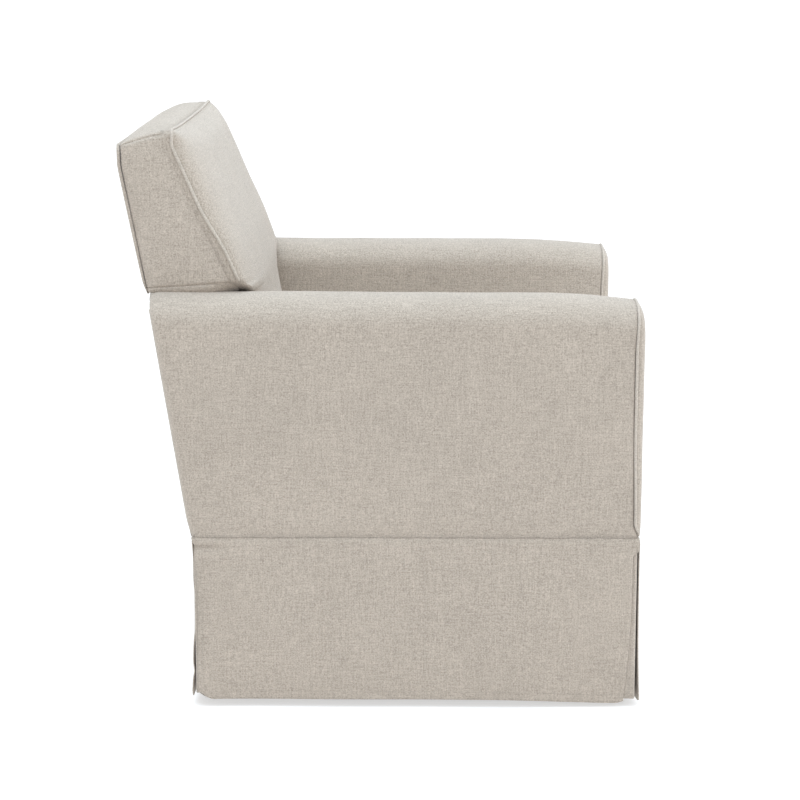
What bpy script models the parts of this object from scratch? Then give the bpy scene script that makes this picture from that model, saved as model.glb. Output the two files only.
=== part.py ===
"""Skirted swivel glider chair for a nursery, as separate sub-parts.

Metres, +Z up. The chair faces -Y, and the sitter's right hand is at -X. The origin is on the floor,
under the middle of the chair's box. Empties sit on the joint axes and carry the pieces that move.
"""

import math

import bmesh
import bpy
from mathutils import Vector

# Gap left between touching solids
GAP = 0.0003

# Upholstered body, outside sizes
HALF_WIDTH = 0.380
ARM_INNER = 0.2475
ARM_TOP = 0.637
ARM_CROWN = 0.007
ARM_EDGE_RADIUS = 0.030
SIDE_FRONT_Y = -0.386
FACING_FRONT_Y = -0.397
SEAM_Z = 0.270
HEM_Z = 0.012
REAR_Y_AT_SEAM = 0.2917
REAR_SLOPE = 0.156
OUTER_BACK_THICKNESS = 0.014
REAR_CORNER_WRAP = 0.025
SIDE_PADDING = 0.030
INNER_PADDING = 0.0125
ARM_COVER_CEILING = 0.6095

# Upper back box: side profile corners (y, z)
BACK_HALF_WIDTH = 0.313
BACK_BOTTOM_REAR = Vector((0.3531, 0.6430))
BACK_TOP_REAR = Vector((0.3940, 0.8646))
BACK_TOP_FRONT = Vector((0.3162, 0.8850))
BACK_BOTTOM_FRONT = Vector((0.2126, 0.6445))
BACK_WALL = 0.012
BACK_TOP_CROWN = 0.025
BACK_PAD_CROWN = 0.028
BACK_PAD_ROUND = 0.012
BACK_PAD_BOTTOM_Z = 0.336
BACK_PAD_BEND_Z = 0.690
BACK_PAD_LOWER_SLOPE = 0.18

# Wooden frame
BOARD = 0.025
RAIL_BOTTOM = 0.215
RAIL_TOP = 0.305
FRONT_RAIL_Y = -0.3722
BACK_RAIL_Y = 0.2452
SIDE_RAIL_X = 0.235
FRAME_HALF_WIDTH = 0.3497
ARM_RAIL_BOTTOM = 0.5603
ARM_RAIL_HEIGHT = 0.020
ARM_RAIL_REAR_Y = 0.300
POST_SLOPE = 0.17
POST_INNER_X = 0.190
POST_TOP = 0.800
TOP_RAIL_TOP = 0.850
TOP_RAIL_HALF_WIDTH = 0.290
BOARD_CHAMFER = 0.002

# Seat
CUSHION_TOP = 0.470
CUSHION_FRONT_Y = -0.383
CUSHION_BACK_GAP = 0.002
DECK_BOTTOM = 0.3225
DECK_TOP = 0.3345
SPRING_WIRE_RADIUS = 0.0018
SPRING_AMPLITUDE = 0.022
SPRING_WAVES = 12
SPRING_RISE = 0.0115
SPRING_SPACING = 0.110
WEB_THICKNESS = 0.002
WEB_HEIGHTS = (0.42, 0.56)
WEB_WIDTH = 0.050

# Skirt
SKIRT_CLOTH = 0.003
SKIRT_TOP = 0.2695
SKIRT_FRONT_Y = -0.3950
SKIRT_CORNER_GAP = 0.003
SIDE_PANEL_EDGE = 0.0014
SIDE_PANEL_EDGE_HEM = 0.0114
PLEAT_LEG = 0.070
PLEAT_CLOTH = 0.0025
PLEAT_TOP = 0.264
PLEAT_HEM = 0.015

# Swivel base
AXIS_Y = -0.047
RING_RADIUS = 0.255
RING_TUBE = 0.0125
FOOT_RADIUS = 0.018
FOOT_HEIGHT = 0.0127
CROSS_HALF_WIDTH = 0.025
CROSS_REACH = 0.262
CROSS_HUB = 0.070
CROSS_THICKNESS = 0.006
CROSS_BOTTOM = 0.0385
SPINDLE_RADIUS = 0.010
SPINDLE_HEAD = 0.016
SPINDLE_HOLE = 0.0105
RACE_INNER = 0.040
RACE_OUTER = 0.060
RACE_WALL = 0.0055
LOWER_RACE = (0.0448, 0.0468, 0.0520)
UPPER_RACE = (0.0490, 0.0548, 0.0568)
CARRIER_BOTTOM = 0.0571
CARRIER_THICKNESS = 0.005
CARRIER_HALF = Vector((0.262, 0.060))

# Glide linkage
PIVOT_Y = 0.130
UPPER_PIVOT_Z = 0.190
LINK_LENGTH = 0.110
LOWER_PIVOT_Z = UPPER_PIVOT_Z - LINK_LENGTH
PIN_RADIUS = 0.006
PIN_HOLE = 0.0063
LINK_X = 0.2175
LINK_THICKNESS = 0.004
LINK_HALF_WIDTH = 0.012
TOWER_X = 0.2325
TOWER_THICKNESS = 0.005
TOWER_BOTTOM = 0.0624
TOWER_TOP = 0.203
STUD_TIP_X = 0.2135
HANGER_X = 0.200
HANGER_THICKNESS = 0.004
HANGER_BOTTOM = 0.066
HANGER_FLANGE = (0.2097, 0.2147)
HANGER_OUTER_X = 0.260
HANGER_HALF_LENGTH = 0.200
SHAFT_TIP_X = 0.2215

SIDES = (("left", 1.0), ("right", -1.0))
ENDS = (("front", -1.0), ("rear", 1.0))


def clear_scene():
    for item in list(bpy.data.objects):
        bpy.data.objects.remove(item, do_unlink=True)


def collection(name):
    made = bpy.data.collections.new(name)
    bpy.context.scene.collection.children.link(made)
    return made


def material(name, colour, roughness, metallic=0.0):
    made = bpy.data.materials.new(name)
    made.use_nodes = True
    shader = made.node_tree.nodes["Principled BSDF"]
    shader.inputs["Base Color"].default_value = (*colour, 1.0)
    shader.inputs["Roughness"].default_value = roughness
    shader.inputs["Metallic"].default_value = metallic
    return made


def world_origin(empty):
    total = Vector((0.0, 0.0, 0.0))
    while empty is not None:
        total += empty.location
        empty = empty.parent
    return total


def pivot(name, place, parent=None):
    """An empty on a joint's axis, which carries the pieces of one moving body."""
    empty = bpy.data.objects.new(name, None)
    PARTS.objects.link(empty)
    empty.parent = parent
    empty.location = Vector(place) - world_origin(parent)
    return empty


def add(name, data, look, parent, place=(0.0, 0.0, 0.0), target=None):
    made = bpy.data.objects.new(name, data)
    (target or PARTS).objects.link(made)
    made.parent = parent
    made.location = Vector(place) - world_origin(parent)
    if look is not None:
        data.materials.append(look)
    return made


def finish_mesh(name, bm):
    bmesh.ops.recalc_face_normals(bm, faces=bm.faces)
    mesh = bpy.data.meshes.new(name)
    bm.to_mesh(mesh)
    bm.free()
    return mesh


def bevel(made, width, segments=1):
    modifier = made.modifiers.new("edges", "BEVEL")
    modifier.width = width
    modifier.segments = segments
    modifier.limit_method = "ANGLE"
    return made


def prism(name, outline, start, end, look, parent, target=None):
    """A flat outline carried from one plane to another: start and end place its points."""
    origin = world_origin(parent)
    bm = bmesh.new()
    goals = {}
    first = []
    for a, b in outline:
        vert = bm.verts.new(Vector(start(a, b)) - origin)
        goals[tuple(vert.co)] = Vector(end(a, b)) - origin
        first.append(vert)
    swept = bmesh.ops.extrude_face_region(bm, geom=[bm.faces.new(first)])
    for item in swept["geom"]:
        if isinstance(item, bmesh.types.BMVert):
            item.co = goals[tuple(item.co)]
    return add(name, finish_mesh(name, bm), look, parent, origin, target)


def rectangle(low, high):
    return [(low[0], low[1]), (high[0], low[1]), (high[0], high[1]), (low[0], high[1])]


def box(name, low, high, look, parent, chamfer=0.0, segments=1, target=None):
    low, high = Vector(low), Vector(high)
    bm = bmesh.new()
    bmesh.ops.create_cube(bm, size=1.0)
    bmesh.ops.scale(bm, vec=high - low, verts=bm.verts)
    middle = (low + high) / 2
    made = add(name, finish_mesh(name, bm), look, parent, middle, target)
    if chamfer:
        bevel(made, chamfer, segments)
    return made


def mirrored(side, low, high):
    """Box corners for one side, from the corners of the side at +X."""
    if side > 0:
        return low, high
    return (-high[0], low[1], low[2]), (-low[0], high[1], high[2])


def cylinder(name, centre, radius, length, axis, look, parent, sides=24, target=None):
    bm = bmesh.new()
    bmesh.ops.create_cone(
        bm, cap_ends=True, segments=sides, radius1=radius, radius2=radius, depth=length
    )
    made = add(name, finish_mesh(name, bm), look, parent, centre, target)
    if axis == "X":
        made.rotation_euler = (0.0, math.pi / 2, 0.0)
    made.data.shade_smooth()
    made.data.set_sharp_from_angle(angle=math.radians(40))
    return made


def turned(name, profile, centre, look, parent, steps=32):
    """A profile (radius, z) turned about a vertical axis. Closed profiles make rings."""
    bm = bmesh.new()
    verts = [bm.verts.new((radius, 0.0, height)) for radius, height in profile]
    closed = profile[0][0] > 0.0
    pairs = list(zip(verts, verts[1:]))
    if closed:
        pairs.append((verts[-1], verts[0]))
    for a, b in pairs:
        bm.edges.new((a, b))
    mesh = bpy.data.meshes.new(name)
    bm.to_mesh(mesh)
    bm.free()
    made = add(name, mesh, look, parent, centre)
    screw = made.modifiers.new("turn", "SCREW")
    screw.steps = steps
    screw.render_steps = steps
    screw.use_merge_vertices = True
    screw.merge_threshold = 0.00001
    return made


def circle(centre, radius, count, reverse=False):
    sign = -1.0 if reverse else 1.0
    points = []
    for i in range(count):
        angle = sign * 2 * math.pi * i / count
        points.append((centre[0] + radius * math.cos(angle), centre[1] + radius * math.sin(angle)))
    return points


def arc(centre, radius, first, last, count):
    points = []
    for i in range(count):
        angle = math.radians(first + (last - first) * i / (count - 1))
        points.append((centre[0] + radius * math.cos(angle), centre[1] + radius * math.sin(angle)))
    return points


def plate(name, outlines, thickness, place, look, parent, upright=False):
    """A flat outline, with holes, extruded to a plate. Upright plates stand in the YZ plane."""
    curve = bpy.data.curves.new(name, "CURVE")
    curve.dimensions = "2D"
    curve.fill_mode = "BOTH"
    curve.extrude = thickness / 2
    for points in outlines:
        spline = curve.splines.new("POLY")
        spline.points.add(len(points) - 1)
        for point, (a, b) in zip(spline.points, points):
            point.co = (a, b, 0.0, 1.0)
        spline.use_cyclic_u = True
    made = add(name, curve, look, parent, place)
    if upright:
        made.rotation_euler = (math.pi / 2, 0.0, math.pi / 2)
    return made


def combine(made, operand, operation):
    operand.hide_render = True
    operand.display_type = "WIRE"
    modifier = made.modifiers.new(operand.name, "BOOLEAN")
    modifier.operation = operation
    modifier.object = operand
    modifier.solver = "EXACT"


def rear_y(height):
    """The slanted plane of the outer back and of the arms' rear ends."""
    return REAR_Y_AT_SEAM + (height - SEAM_Z) * REAR_SLOPE


def post_y(height):
    """The leaning front plane of the back posts."""
    return BACK_RAIL_Y + (height - RAIL_TOP) * POST_SLOPE


def back_front(t):
    return BACK_BOTTOM_FRONT.lerp(BACK_TOP_FRONT, t)


def back_rear(t):
    return BACK_BOTTOM_REAR.lerp(BACK_TOP_REAR, t)


# Swivel base


def base_ring(look, parent):
    place = Vector((0.0, AXIS_Y, FOOT_HEIGHT + GAP + RING_TUBE))
    bpy.ops.mesh.primitive_torus_add(
        major_segments=40, minor_segments=10, major_radius=RING_RADIUS, minor_radius=RING_TUBE
    )
    made = bpy.context.object
    made.name = "base_ring"
    for owner in list(made.users_collection):
        owner.objects.unlink(made)
    PARTS.objects.link(made)
    made.parent = parent
    made.location = place - world_origin(parent)
    made.data.materials.append(look)
    made.data.shade_smooth()


def base_feet(look, parent):
    for i in range(4):
        angle = math.radians(45 + 90 * i)
        centre = (RING_RADIUS * math.cos(angle), AXIS_Y + RING_RADIUS * math.sin(angle), FOOT_HEIGHT / 2)
        cylinder(f"base_foot_{i + 1}", centre, FOOT_RADIUS, FOOT_HEIGHT, "Z", look, parent)


def base_cross(look, parent):
    outline = []
    half_angle = math.degrees(math.asin(CROSS_HALF_WIDTH / CROSS_HUB))
    for i in range(4):
        middle = 45 + 90 * i
        turn = math.radians(middle)
        along = Vector((math.cos(turn), math.sin(turn)))
        across = Vector((-along.y, along.x)) * CROSS_HALF_WIDTH
        outline.append(tuple(along * CROSS_REACH - across))
        outline.append(tuple(along * CROSS_REACH + across))
        outline += arc((0.0, 0.0), CROSS_HUB, middle + half_angle, middle + 90 - half_angle, 5)
    hole = circle((0.0, 0.0), SPINDLE_HOLE, 32)
    place = (0.0, AXIS_Y, CROSS_BOTTOM + CROSS_THICKNESS / 2)
    plate("base_cross", [outline, hole], CROSS_THICKNESS, place, look, parent)


def swivel_lower_race(look, parent):
    floor, shelf, top = LOWER_RACE
    wall = RACE_INNER + RACE_WALL
    profile = [
        (RACE_INNER, top), (wall, top), (wall, shelf),
        (RACE_OUTER, shelf), (RACE_OUTER, floor), (RACE_INNER, floor),
    ]
    turned("swivel_lower_race", profile, (0.0, AXIS_Y, 0.0), look, parent)


def swivel_upper_race(look, parent):
    rim, shelf, top = UPPER_RACE
    wall = RACE_OUTER - RACE_WALL
    profile = [
        (RACE_INNER, top), (RACE_OUTER, top), (RACE_OUTER, rim),
        (wall, rim), (wall, shelf), (RACE_INNER, shelf),
    ]
    turned("swivel_upper_race", profile, (0.0, AXIS_Y, 0.0), look, parent)


def swivel_spindle(look, parent):
    nut_bottom = CROSS_BOTTOM - 0.0085
    nut_top = CROSS_BOTTOM - GAP
    head_bottom = CARRIER_BOTTOM + CARRIER_THICKNESS + GAP
    head_top = head_bottom + 0.0075
    profile = [
        (0.0, head_top), (SPINDLE_HEAD, head_top), (SPINDLE_HEAD, head_bottom),
        (SPINDLE_RADIUS, head_bottom), (SPINDLE_RADIUS, nut_top),
        (SPINDLE_HEAD, nut_top), (SPINDLE_HEAD, nut_bottom), (0.0, nut_bottom),
    ]
    turned("swivel_spindle", profile, (0.0, AXIS_Y, 0.0), look, parent)


# Swivel carrier


def swivel_plate(look, parent):
    outline = rectangle(-CARRIER_HALF, CARRIER_HALF)
    hole = circle((0.0, 0.0), SPINDLE_HOLE, 32)
    place = (0.0, AXIS_Y, CARRIER_BOTTOM + CARRIER_THICKNESS / 2)
    plate("swivel_plate", [outline, hole], CARRIER_THICKNESS, place, look, parent)


def tower(name, side, look, parent):
    """An upright plate with a foot flange and two pivot studs welded to it."""
    outline = [
        (-0.07, TOWER_BOTTOM), (0.07, TOWER_BOTTOM), (0.15, 0.165),
        (0.15, TOWER_TOP), (-0.15, TOWER_TOP), (-0.15, 0.165),
    ]
    inner, outer = side * TOWER_X, side * (TOWER_X + TOWER_THICKNESS)
    made = prism(
        name,
        outline,
        lambda y, z: (inner, AXIS_Y + y, z),
        lambda y, z: (outer, AXIS_Y + y, z),
        look,
        parent,
    )
    low = (TOWER_X + 0.0015, AXIS_Y - 0.055, TOWER_BOTTOM + GAP)
    high = (CARRIER_HALF.x, AXIS_Y + 0.055, TOWER_BOTTOM + GAP + TOWER_THICKNESS)
    foot = box(name + "_foot", *mirrored(side, low, high), None, None, target=CUTTERS)
    combine(made, foot, "UNION")
    length = TOWER_X + TOWER_THICKNESS / 2 - STUD_TIP_X
    for end, sign in ENDS:
        centre = (side * (STUD_TIP_X + length / 2), AXIS_Y + sign * PIVOT_Y, UPPER_PIVOT_Z)
        stud = cylinder(f"{name}_{end}_stud", centre, PIN_RADIUS, length, "X", None, None, 20, CUTTERS)
        combine(made, stud, "UNION")


# Glide linkage


def link(name, side, end, look, parent):
    """A flat bar with round ends and a pivot hole at each end."""
    outline = arc((0.0, 0.0), LINK_HALF_WIDTH, 0, 180, 9)
    outline += arc((0.0, -LINK_LENGTH), LINK_HALF_WIDTH, 180, 360, 9)
    holes = [circle((0.0, 0.0), PIN_HOLE, 20), circle((0.0, -LINK_LENGTH), PIN_HOLE, 20)]
    place = (side * LINK_X, AXIS_Y + end * PIVOT_Y, UPPER_PIVOT_Z)
    plate(name, [outline, *holes], LINK_THICKNESS, place, look, parent, upright=True)


def hanger(name, side, look, parent):
    """An upright plate under the seat rail, with a flange on top and two shaft holes."""
    top = HANGER_FLANGE[0] + 0.002
    outline = [(-0.147, HANGER_BOTTOM), (0.147, HANGER_BOTTOM), (0.165, top), (-0.165, top)]
    inner, outer = side * HANGER_X, side * (HANGER_X + HANGER_THICKNESS)
    made = prism(
        name,
        outline,
        lambda y, z: (inner, AXIS_Y + y, z),
        lambda y, z: (outer, AXIS_Y + y, z),
        look,
        parent,
    )
    low = (HANGER_X - GAP, AXIS_Y - HANGER_HALF_LENGTH, HANGER_FLANGE[0])
    high = (HANGER_OUTER_X, AXIS_Y + HANGER_HALF_LENGTH, HANGER_FLANGE[1])
    flange = box(name + "_flange", *mirrored(side, low, high), None, None, target=CUTTERS)
    combine(made, flange, "UNION")
    for end, sign in ENDS:
        centre = (side * HANGER_X, AXIS_Y + sign * PIVOT_Y, LOWER_PIVOT_Z)
        hole = cylinder(f"{name}_{end}_hole", centre, PIN_HOLE, 0.03, "X", None, None, 20, CUTTERS)
        combine(made, hole, "DIFFERENCE")


def lower_shafts(look, parent):
    for end, sign in ENDS:
        centre = (0.0, AXIS_Y + sign * PIVOT_Y, LOWER_PIVOT_Z)
        cylinder(f"{end}_lower_shaft", centre, PIN_RADIUS, 2 * SHAFT_TIP_X, "X", look, parent, 20)


# Wooden frame


def seat_rails(look, parent):
    rear = BACK_RAIL_Y + BOARD
    front = FRONT_RAIL_Y + BOARD
    low = (-FRAME_HALF_WIDTH, FRONT_RAIL_Y, RAIL_BOTTOM)
    box("front_seat_rail", low, (FRAME_HALF_WIDTH, front, RAIL_TOP), look, parent, BOARD_CHAMFER)
    low = (-FRAME_HALF_WIDTH, BACK_RAIL_Y, RAIL_BOTTOM)
    box("back_seat_rail", low, (FRAME_HALF_WIDTH, rear, RAIL_TOP), look, parent, BOARD_CHAMFER)
    for word, side in SIDES:
        low = (SIDE_RAIL_X, front + GAP, RAIL_BOTTOM)
        high = (SIDE_RAIL_X + BOARD, BACK_RAIL_Y - GAP, RAIL_TOP)
        box(f"{word}_seat_rail", *mirrored(side, low, high), look, parent, BOARD_CHAMFER)


def arm_frames(look, parent):
    inner = ARM_INNER + INNER_PADDING + GAP
    bottom, top = RAIL_TOP + GAP, ARM_RAIL_BOTTOM - GAP
    for word, side in SIDES:
        for end, y in (("front", FRONT_RAIL_Y), ("rear", BACK_RAIL_Y)):
            corners = mirrored(side, (inner, y, bottom), (FRAME_HALF_WIDTH, y + BOARD, top))
            box(f"{word}_{end}_arm_post", *corners, look, parent, BOARD_CHAMFER)
        low = (inner, FRONT_RAIL_Y, ARM_RAIL_BOTTOM)
        high = (FRAME_HALF_WIDTH, ARM_RAIL_REAR_Y, ARM_RAIL_BOTTOM + ARM_RAIL_HEIGHT)
        box(f"{word}_arm_rail", *mirrored(side, low, high), look, parent, BOARD_CHAMFER)


def leaning_board(name, low, high, depth, look, parent):
    """A board in the leaning plane of the back posts, from low to high (x, z)."""
    made = prism(
        name,
        rectangle(low, high),
        lambda x, z: (x, post_y(z), z),
        lambda x, z: (x, post_y(z) + depth, z),
        look,
        parent,
    )
    return bevel(made, BOARD_CHAMFER)


def back_frame(look, parent):
    bottom = RAIL_TOP + GAP
    for word, side in SIDES:
        edges = sorted((side * POST_INNER_X, side * (SIDE_RAIL_X - GAP)))
        leaning_board(
            f"{word}_back_post", (edges[0], bottom), (edges[1], POST_TOP), BOARD, look, parent
        )
    low = (-TOP_RAIL_HALF_WIDTH, POST_TOP + GAP)
    high = (TOP_RAIL_HALF_WIDTH, TOP_RAIL_TOP)
    leaning_board("back_top_rail", low, high, BOARD, look, parent)


# Springs and webbing


def seat_springs(look, parent):
    """Flat zigzag wires from the front rail to the back rail, arched a little upward."""
    first, last = FRONT_RAIL_Y + BOARD / 2, BACK_RAIL_Y + BOARD / 2
    base_z = RAIL_TOP + SPRING_WIRE_RADIUS + 2 * GAP
    count = 4 * SPRING_WAVES
    for number in range(4):
        x = (number - 1.5) * SPRING_SPACING
        curve = bpy.data.curves.new("spring", "CURVE")
        curve.dimensions = "3D"
        curve.bevel_depth = SPRING_WIRE_RADIUS
        curve.bevel_resolution = 1
        curve.use_fill_caps = True
        spline = curve.splines.new("POLY")
        spline.points.add(count)
        for i, point in enumerate(spline.points):
            share = i / count
            sway = SPRING_AMPLITUDE * math.sqrt(2) * math.sin(math.pi * (i / 2 + 0.25))
            rise = SPRING_RISE * math.sin(math.pi * share)
            point.co = (sway, first + (last - first) * share, base_z + rise, 1.0)
        add(f"seat_spring_{number + 1}", curve, look, parent, (x, 0.0, 0.0))


def back_webbing(look, parent):
    for number, height in enumerate(WEB_HEIGHTS):
        edge = SIDE_RAIL_X - GAP
        prism(
            f"back_webbing_{number + 1}",
            rectangle((-edge, height), (edge, height + WEB_WIDTH)),
            lambda x, z: (x, post_y(z) - 2 * GAP - WEB_THICKNESS, z),
            lambda x, z: (x, post_y(z) - 2 * GAP, z),
            look,
            parent,
        )


# Upholstery


def arm_outline(side, inner_bottom, outer_bottom):
    """The arm's outside cross-section (x, z): crowned on top, round at both top edges."""
    shoulder = ARM_TOP - ARM_CROWN - ARM_EDGE_RADIUS
    inner_radius = ARM_EDGE_RADIUS * 0.7
    inner_shoulder = ARM_TOP - ARM_CROWN - inner_radius
    points = [(ARM_INNER, inner_bottom)]
    points += arc((ARM_INNER + inner_radius, inner_shoulder), inner_radius, 180, 90, 5)
    middle = (ARM_INNER + HALF_WIDTH) / 2
    points.append((middle, ARM_TOP))
    points += arc((HALF_WIDTH - ARM_EDGE_RADIUS, shoulder), ARM_EDGE_RADIUS, 90, 0, 6)
    points.append((HALF_WIDTH, outer_bottom))
    return [(side * x, z) for x, z in points]


def arm_covers(look, parent):
    """Padded cloth wrap over each arm: inner leg, top and outer side in one piece."""
    bottom = SEAM_Z + 0.002
    for word, side in SIDES:
        outline = arm_outline(side, RAIL_TOP + 2 * GAP, bottom)
        inner = ARM_INNER + INNER_PADDING
        outer = HALF_WIDTH - SIDE_PADDING
        hollow = [(outer, bottom), (outer, ARM_COVER_CEILING), (inner, ARM_COVER_CEILING)]
        hollow.append((inner, RAIL_TOP + 2 * GAP))
        outline += [(side * x, z) for x, z in hollow]
        made = prism(
            f"{word}_arm_cover",
            outline,
            lambda x, z: (x, SIDE_FRONT_Y, z),
            lambda x, z: (x, rear_y(z) - OUTER_BACK_THICKNESS - GAP, z),
            look,
            parent,
        )
        edge = HALF_WIDTH - REAR_CORNER_WRAP
        corner = [(x - GAP, z - GAP) for x, z in arm_outline(1.0, bottom, bottom + 2 * GAP) if x > edge]
        corner = [(edge, corner[0][1])] + corner + [(edge, bottom + GAP)]
        wrap = prism(
            f"{word}_arm_corner",
            [(side * x, z) for x, z in corner],
            lambda x, z: (x, rear_y(z) - OUTER_BACK_THICKNESS - 0.004, z),
            lambda x, z: (x, rear_y(z), z),
            None,
            None,
            CUTTERS,
        )
        combine(made, wrap, "UNION")


def arm_pads(look, parent):
    inner = ARM_INNER + INNER_PADDING + GAP
    for word, side in SIDES:
        low = (inner, FRONT_RAIL_Y, ARM_RAIL_BOTTOM + ARM_RAIL_HEIGHT + GAP)
        high = (FRAME_HALF_WIDTH, ARM_RAIL_REAR_Y, ARM_COVER_CEILING - GAP)
        box(f"{word}_arm_pad", *mirrored(side, low, high), look, parent, 0.004)


def arm_facings(look, parent):
    bottom = SEAM_Z + 0.002
    for word, side in SIDES:
        made = prism(
            f"{word}_arm_facing",
            arm_outline(side, bottom, bottom),
            lambda x, z: (x, SIDE_FRONT_Y - GAP, z),
            lambda x, z: (x, FACING_FRONT_Y, z),
            look,
            parent,
        )
        bevel(made, 0.002)


def outer_back_panel(look, parent):
    """The lower outside back, between the wrapped arm corners, under the overhang of the upper box."""
    bottom = SEAM_Z + 0.002
    edge = HALF_WIDTH - REAR_CORNER_WRAP - GAP
    shoulder = ARM_TOP - ARM_CROWN
    half = [(edge, bottom), (edge, shoulder), (BACK_HALF_WIDTH - 0.002, ARM_TOP - 0.004)]
    outline = half + [(-x, z) for x, z in reversed(half)]
    prism(
        "outer_back_panel",
        outline,
        lambda x, z: (x, rear_y(z) - OUTER_BACK_THICKNESS, z),
        lambda x, z: (x, rear_y(z), z),
        look,
        parent,
    )


def crowned_top(half_width, bottom, top, crown):
    """Outline (x, t) with a crowned top edge, t along the back's height."""
    points = [(-half_width, bottom), (half_width, bottom)]
    steps = 8
    for i in range(steps + 1):
        x = half_width * (1 - 2 * i / steps)
        points.append((x, top + crown * (1 - (x / half_width) ** 2)))
    return points


def back_box(look, parent):
    """Boxing of the upper back: sides, top and rear wall, open to the front and between the arms."""
    made = prism(
        "back_box",
        crowned_top(BACK_HALF_WIDTH, 0.0, 1.0, BACK_TOP_CROWN),
        lambda x, t: (x, *back_front(t)),
        lambda x, t: (x, *back_rear(t)),
        look,
        parent,
    )
    inset = BACK_WALL / (BACK_TOP_REAR.y - BACK_BOTTOM_REAR.y)
    forward = Vector((-0.060, 0.0))
    inward = Vector((-BACK_WALL, 0.0))
    hollow = prism(
        "back_box_hollow",
        crowned_top(BACK_HALF_WIDTH - BACK_WALL, inset, 1.0 - inset, BACK_TOP_CROWN),
        lambda x, t: (x, *(back_front(t) + forward)),
        lambda x, t: (x, *(back_rear(t) + inward)),
        None,
        None,
        CUTTERS,
    )
    combine(made, hollow, "DIFFERENCE")
    edge = ARM_INNER + BACK_PAD_ROUND + 0.003
    low = (-edge, 0.10, BACK_BOTTOM_REAR.y - 0.02)
    high = (edge, BACK_BOTTOM_REAR.x - BACK_WALL, BACK_BOTTOM_FRONT.y + BACK_WALL + 0.01)
    throat = box("back_box_throat", low, high, None, None, target=CUTTERS)
    combine(made, throat, "DIFFERENCE")


def pad_front_y(height):
    """Front of the inside back: steep between the arms, leaning further back above them."""
    rise = BACK_TOP_FRONT.y - BACK_BOTTOM_FRONT.y
    lean = (BACK_TOP_FRONT.x - BACK_BOTTOM_FRONT.x) / rise
    upper = max(height, BACK_PAD_BEND_Z)
    front = BACK_BOTTOM_FRONT.x + (upper - BACK_BOTTOM_FRONT.y) * lean - BACK_PAD_CROWN
    return front - (upper - height) * BACK_PAD_LOWER_SLOPE


def back_front_pad(look, parent):
    """T-shaped foam wedge of the inside back: wide inside the box, narrow between the arms."""
    upper = BACK_HALF_WIDTH - BACK_WALL - GAP
    lower = ARM_INNER - 2 * GAP
    bottom = BACK_PAD_BOTTOM_Z
    shoulder = BACK_BOTTOM_FRONT.y + BACK_WALL + 0.001
    rear = 0.0035
    top_rear = BACK_TOP_REAR.y - 0.0072
    top_front = BACK_TOP_REAR.y + 0.0010
    outline = [
        (pad_front_y(bottom), bottom), (post_y(bottom) - rear, bottom), (post_y(top_rear) - rear, top_rear),
        (pad_front_y(top_front), top_front), (pad_front_y(BACK_PAD_BEND_Z), BACK_PAD_BEND_Z),
    ]
    made = prism(
        "back_front_pad",
        outline,
        lambda y, z: (-upper, y, z),
        lambda y, z: (upper, y, z),
        look,
        parent,
    )
    for word, side in SIDES:
        low, high = mirrored(side, (lower, 0.0, bottom - 0.01), (upper + 0.01, 0.40, shoulder))
        notch = box(f"{word}_back_pad_notch", low, high, None, None, target=CUTTERS)
        combine(made, notch, "DIFFERENCE")
    bevel(made, BACK_PAD_ROUND, 2)


def seat_deck(look, parent):
    edge = ARM_INNER - 2 * GAP
    low = (-edge, FRONT_RAIL_Y, DECK_BOTTOM)
    box("seat_deck", low, (edge, BACK_RAIL_Y - 0.002, DECK_TOP), look, parent, 0.003)


def front_border(look, parent):
    edge = ARM_INNER - GAP
    low = (-edge, SIDE_FRONT_Y, SEAM_Z + 0.002)
    high = (edge, FRONT_RAIL_Y - GAP, DECK_TOP)
    box("front_border", low, high, look, parent, 0.003)


def dust_cover(look, parent):
    edge = HANGER_X - 0.005
    low = (-edge, FRONT_RAIL_Y + 0.003, RAIL_BOTTOM - 0.0025)
    box("dust_cover", low, (edge, BACK_RAIL_Y + BOARD - 0.003, RAIL_BOTTOM - GAP), look, parent)


def skirt_panels(look, parent):
    front_edge = HALF_WIDTH - SKIRT_CORNER_GAP
    hem_edge = HALF_WIDTH - SKIRT_CORNER_GAP - 0.004
    trapezoid = [(-hem_edge, HEM_Z), (hem_edge, HEM_Z), (front_edge, SKIRT_TOP), (-front_edge, SKIRT_TOP)]
    planes = (("front", SKIRT_FRONT_Y), ("rear", REAR_Y_AT_SEAM - SKIRT_CLOTH))
    for word, y in planes:
        prism(
            f"{word}_skirt",
            trapezoid,
            lambda x, z, y=y: (x, y, z),
            lambda x, z, y=y: (x, y + SKIRT_CLOTH, z),
            look,
            parent,
        )
    rear = REAR_Y_AT_SEAM - SKIRT_CLOTH - 0.002
    outline = [
        (SIDE_FRONT_Y + SIDE_PANEL_EDGE_HEM, HEM_Z), (rear - 0.006, HEM_Z),
        (rear, SKIRT_TOP), (SIDE_FRONT_Y + SIDE_PANEL_EDGE, SKIRT_TOP),
    ]
    for word, side in SIDES:
        inner, outer = side * (HALF_WIDTH - SKIRT_CLOTH), side * HALF_WIDTH
        prism(
            f"{word}_skirt",
            outline,
            lambda y, z, inner=inner: (inner, y, z),
            lambda y, z, outer=outer: (outer, y, z),
            look,
            parent,
        )


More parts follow.
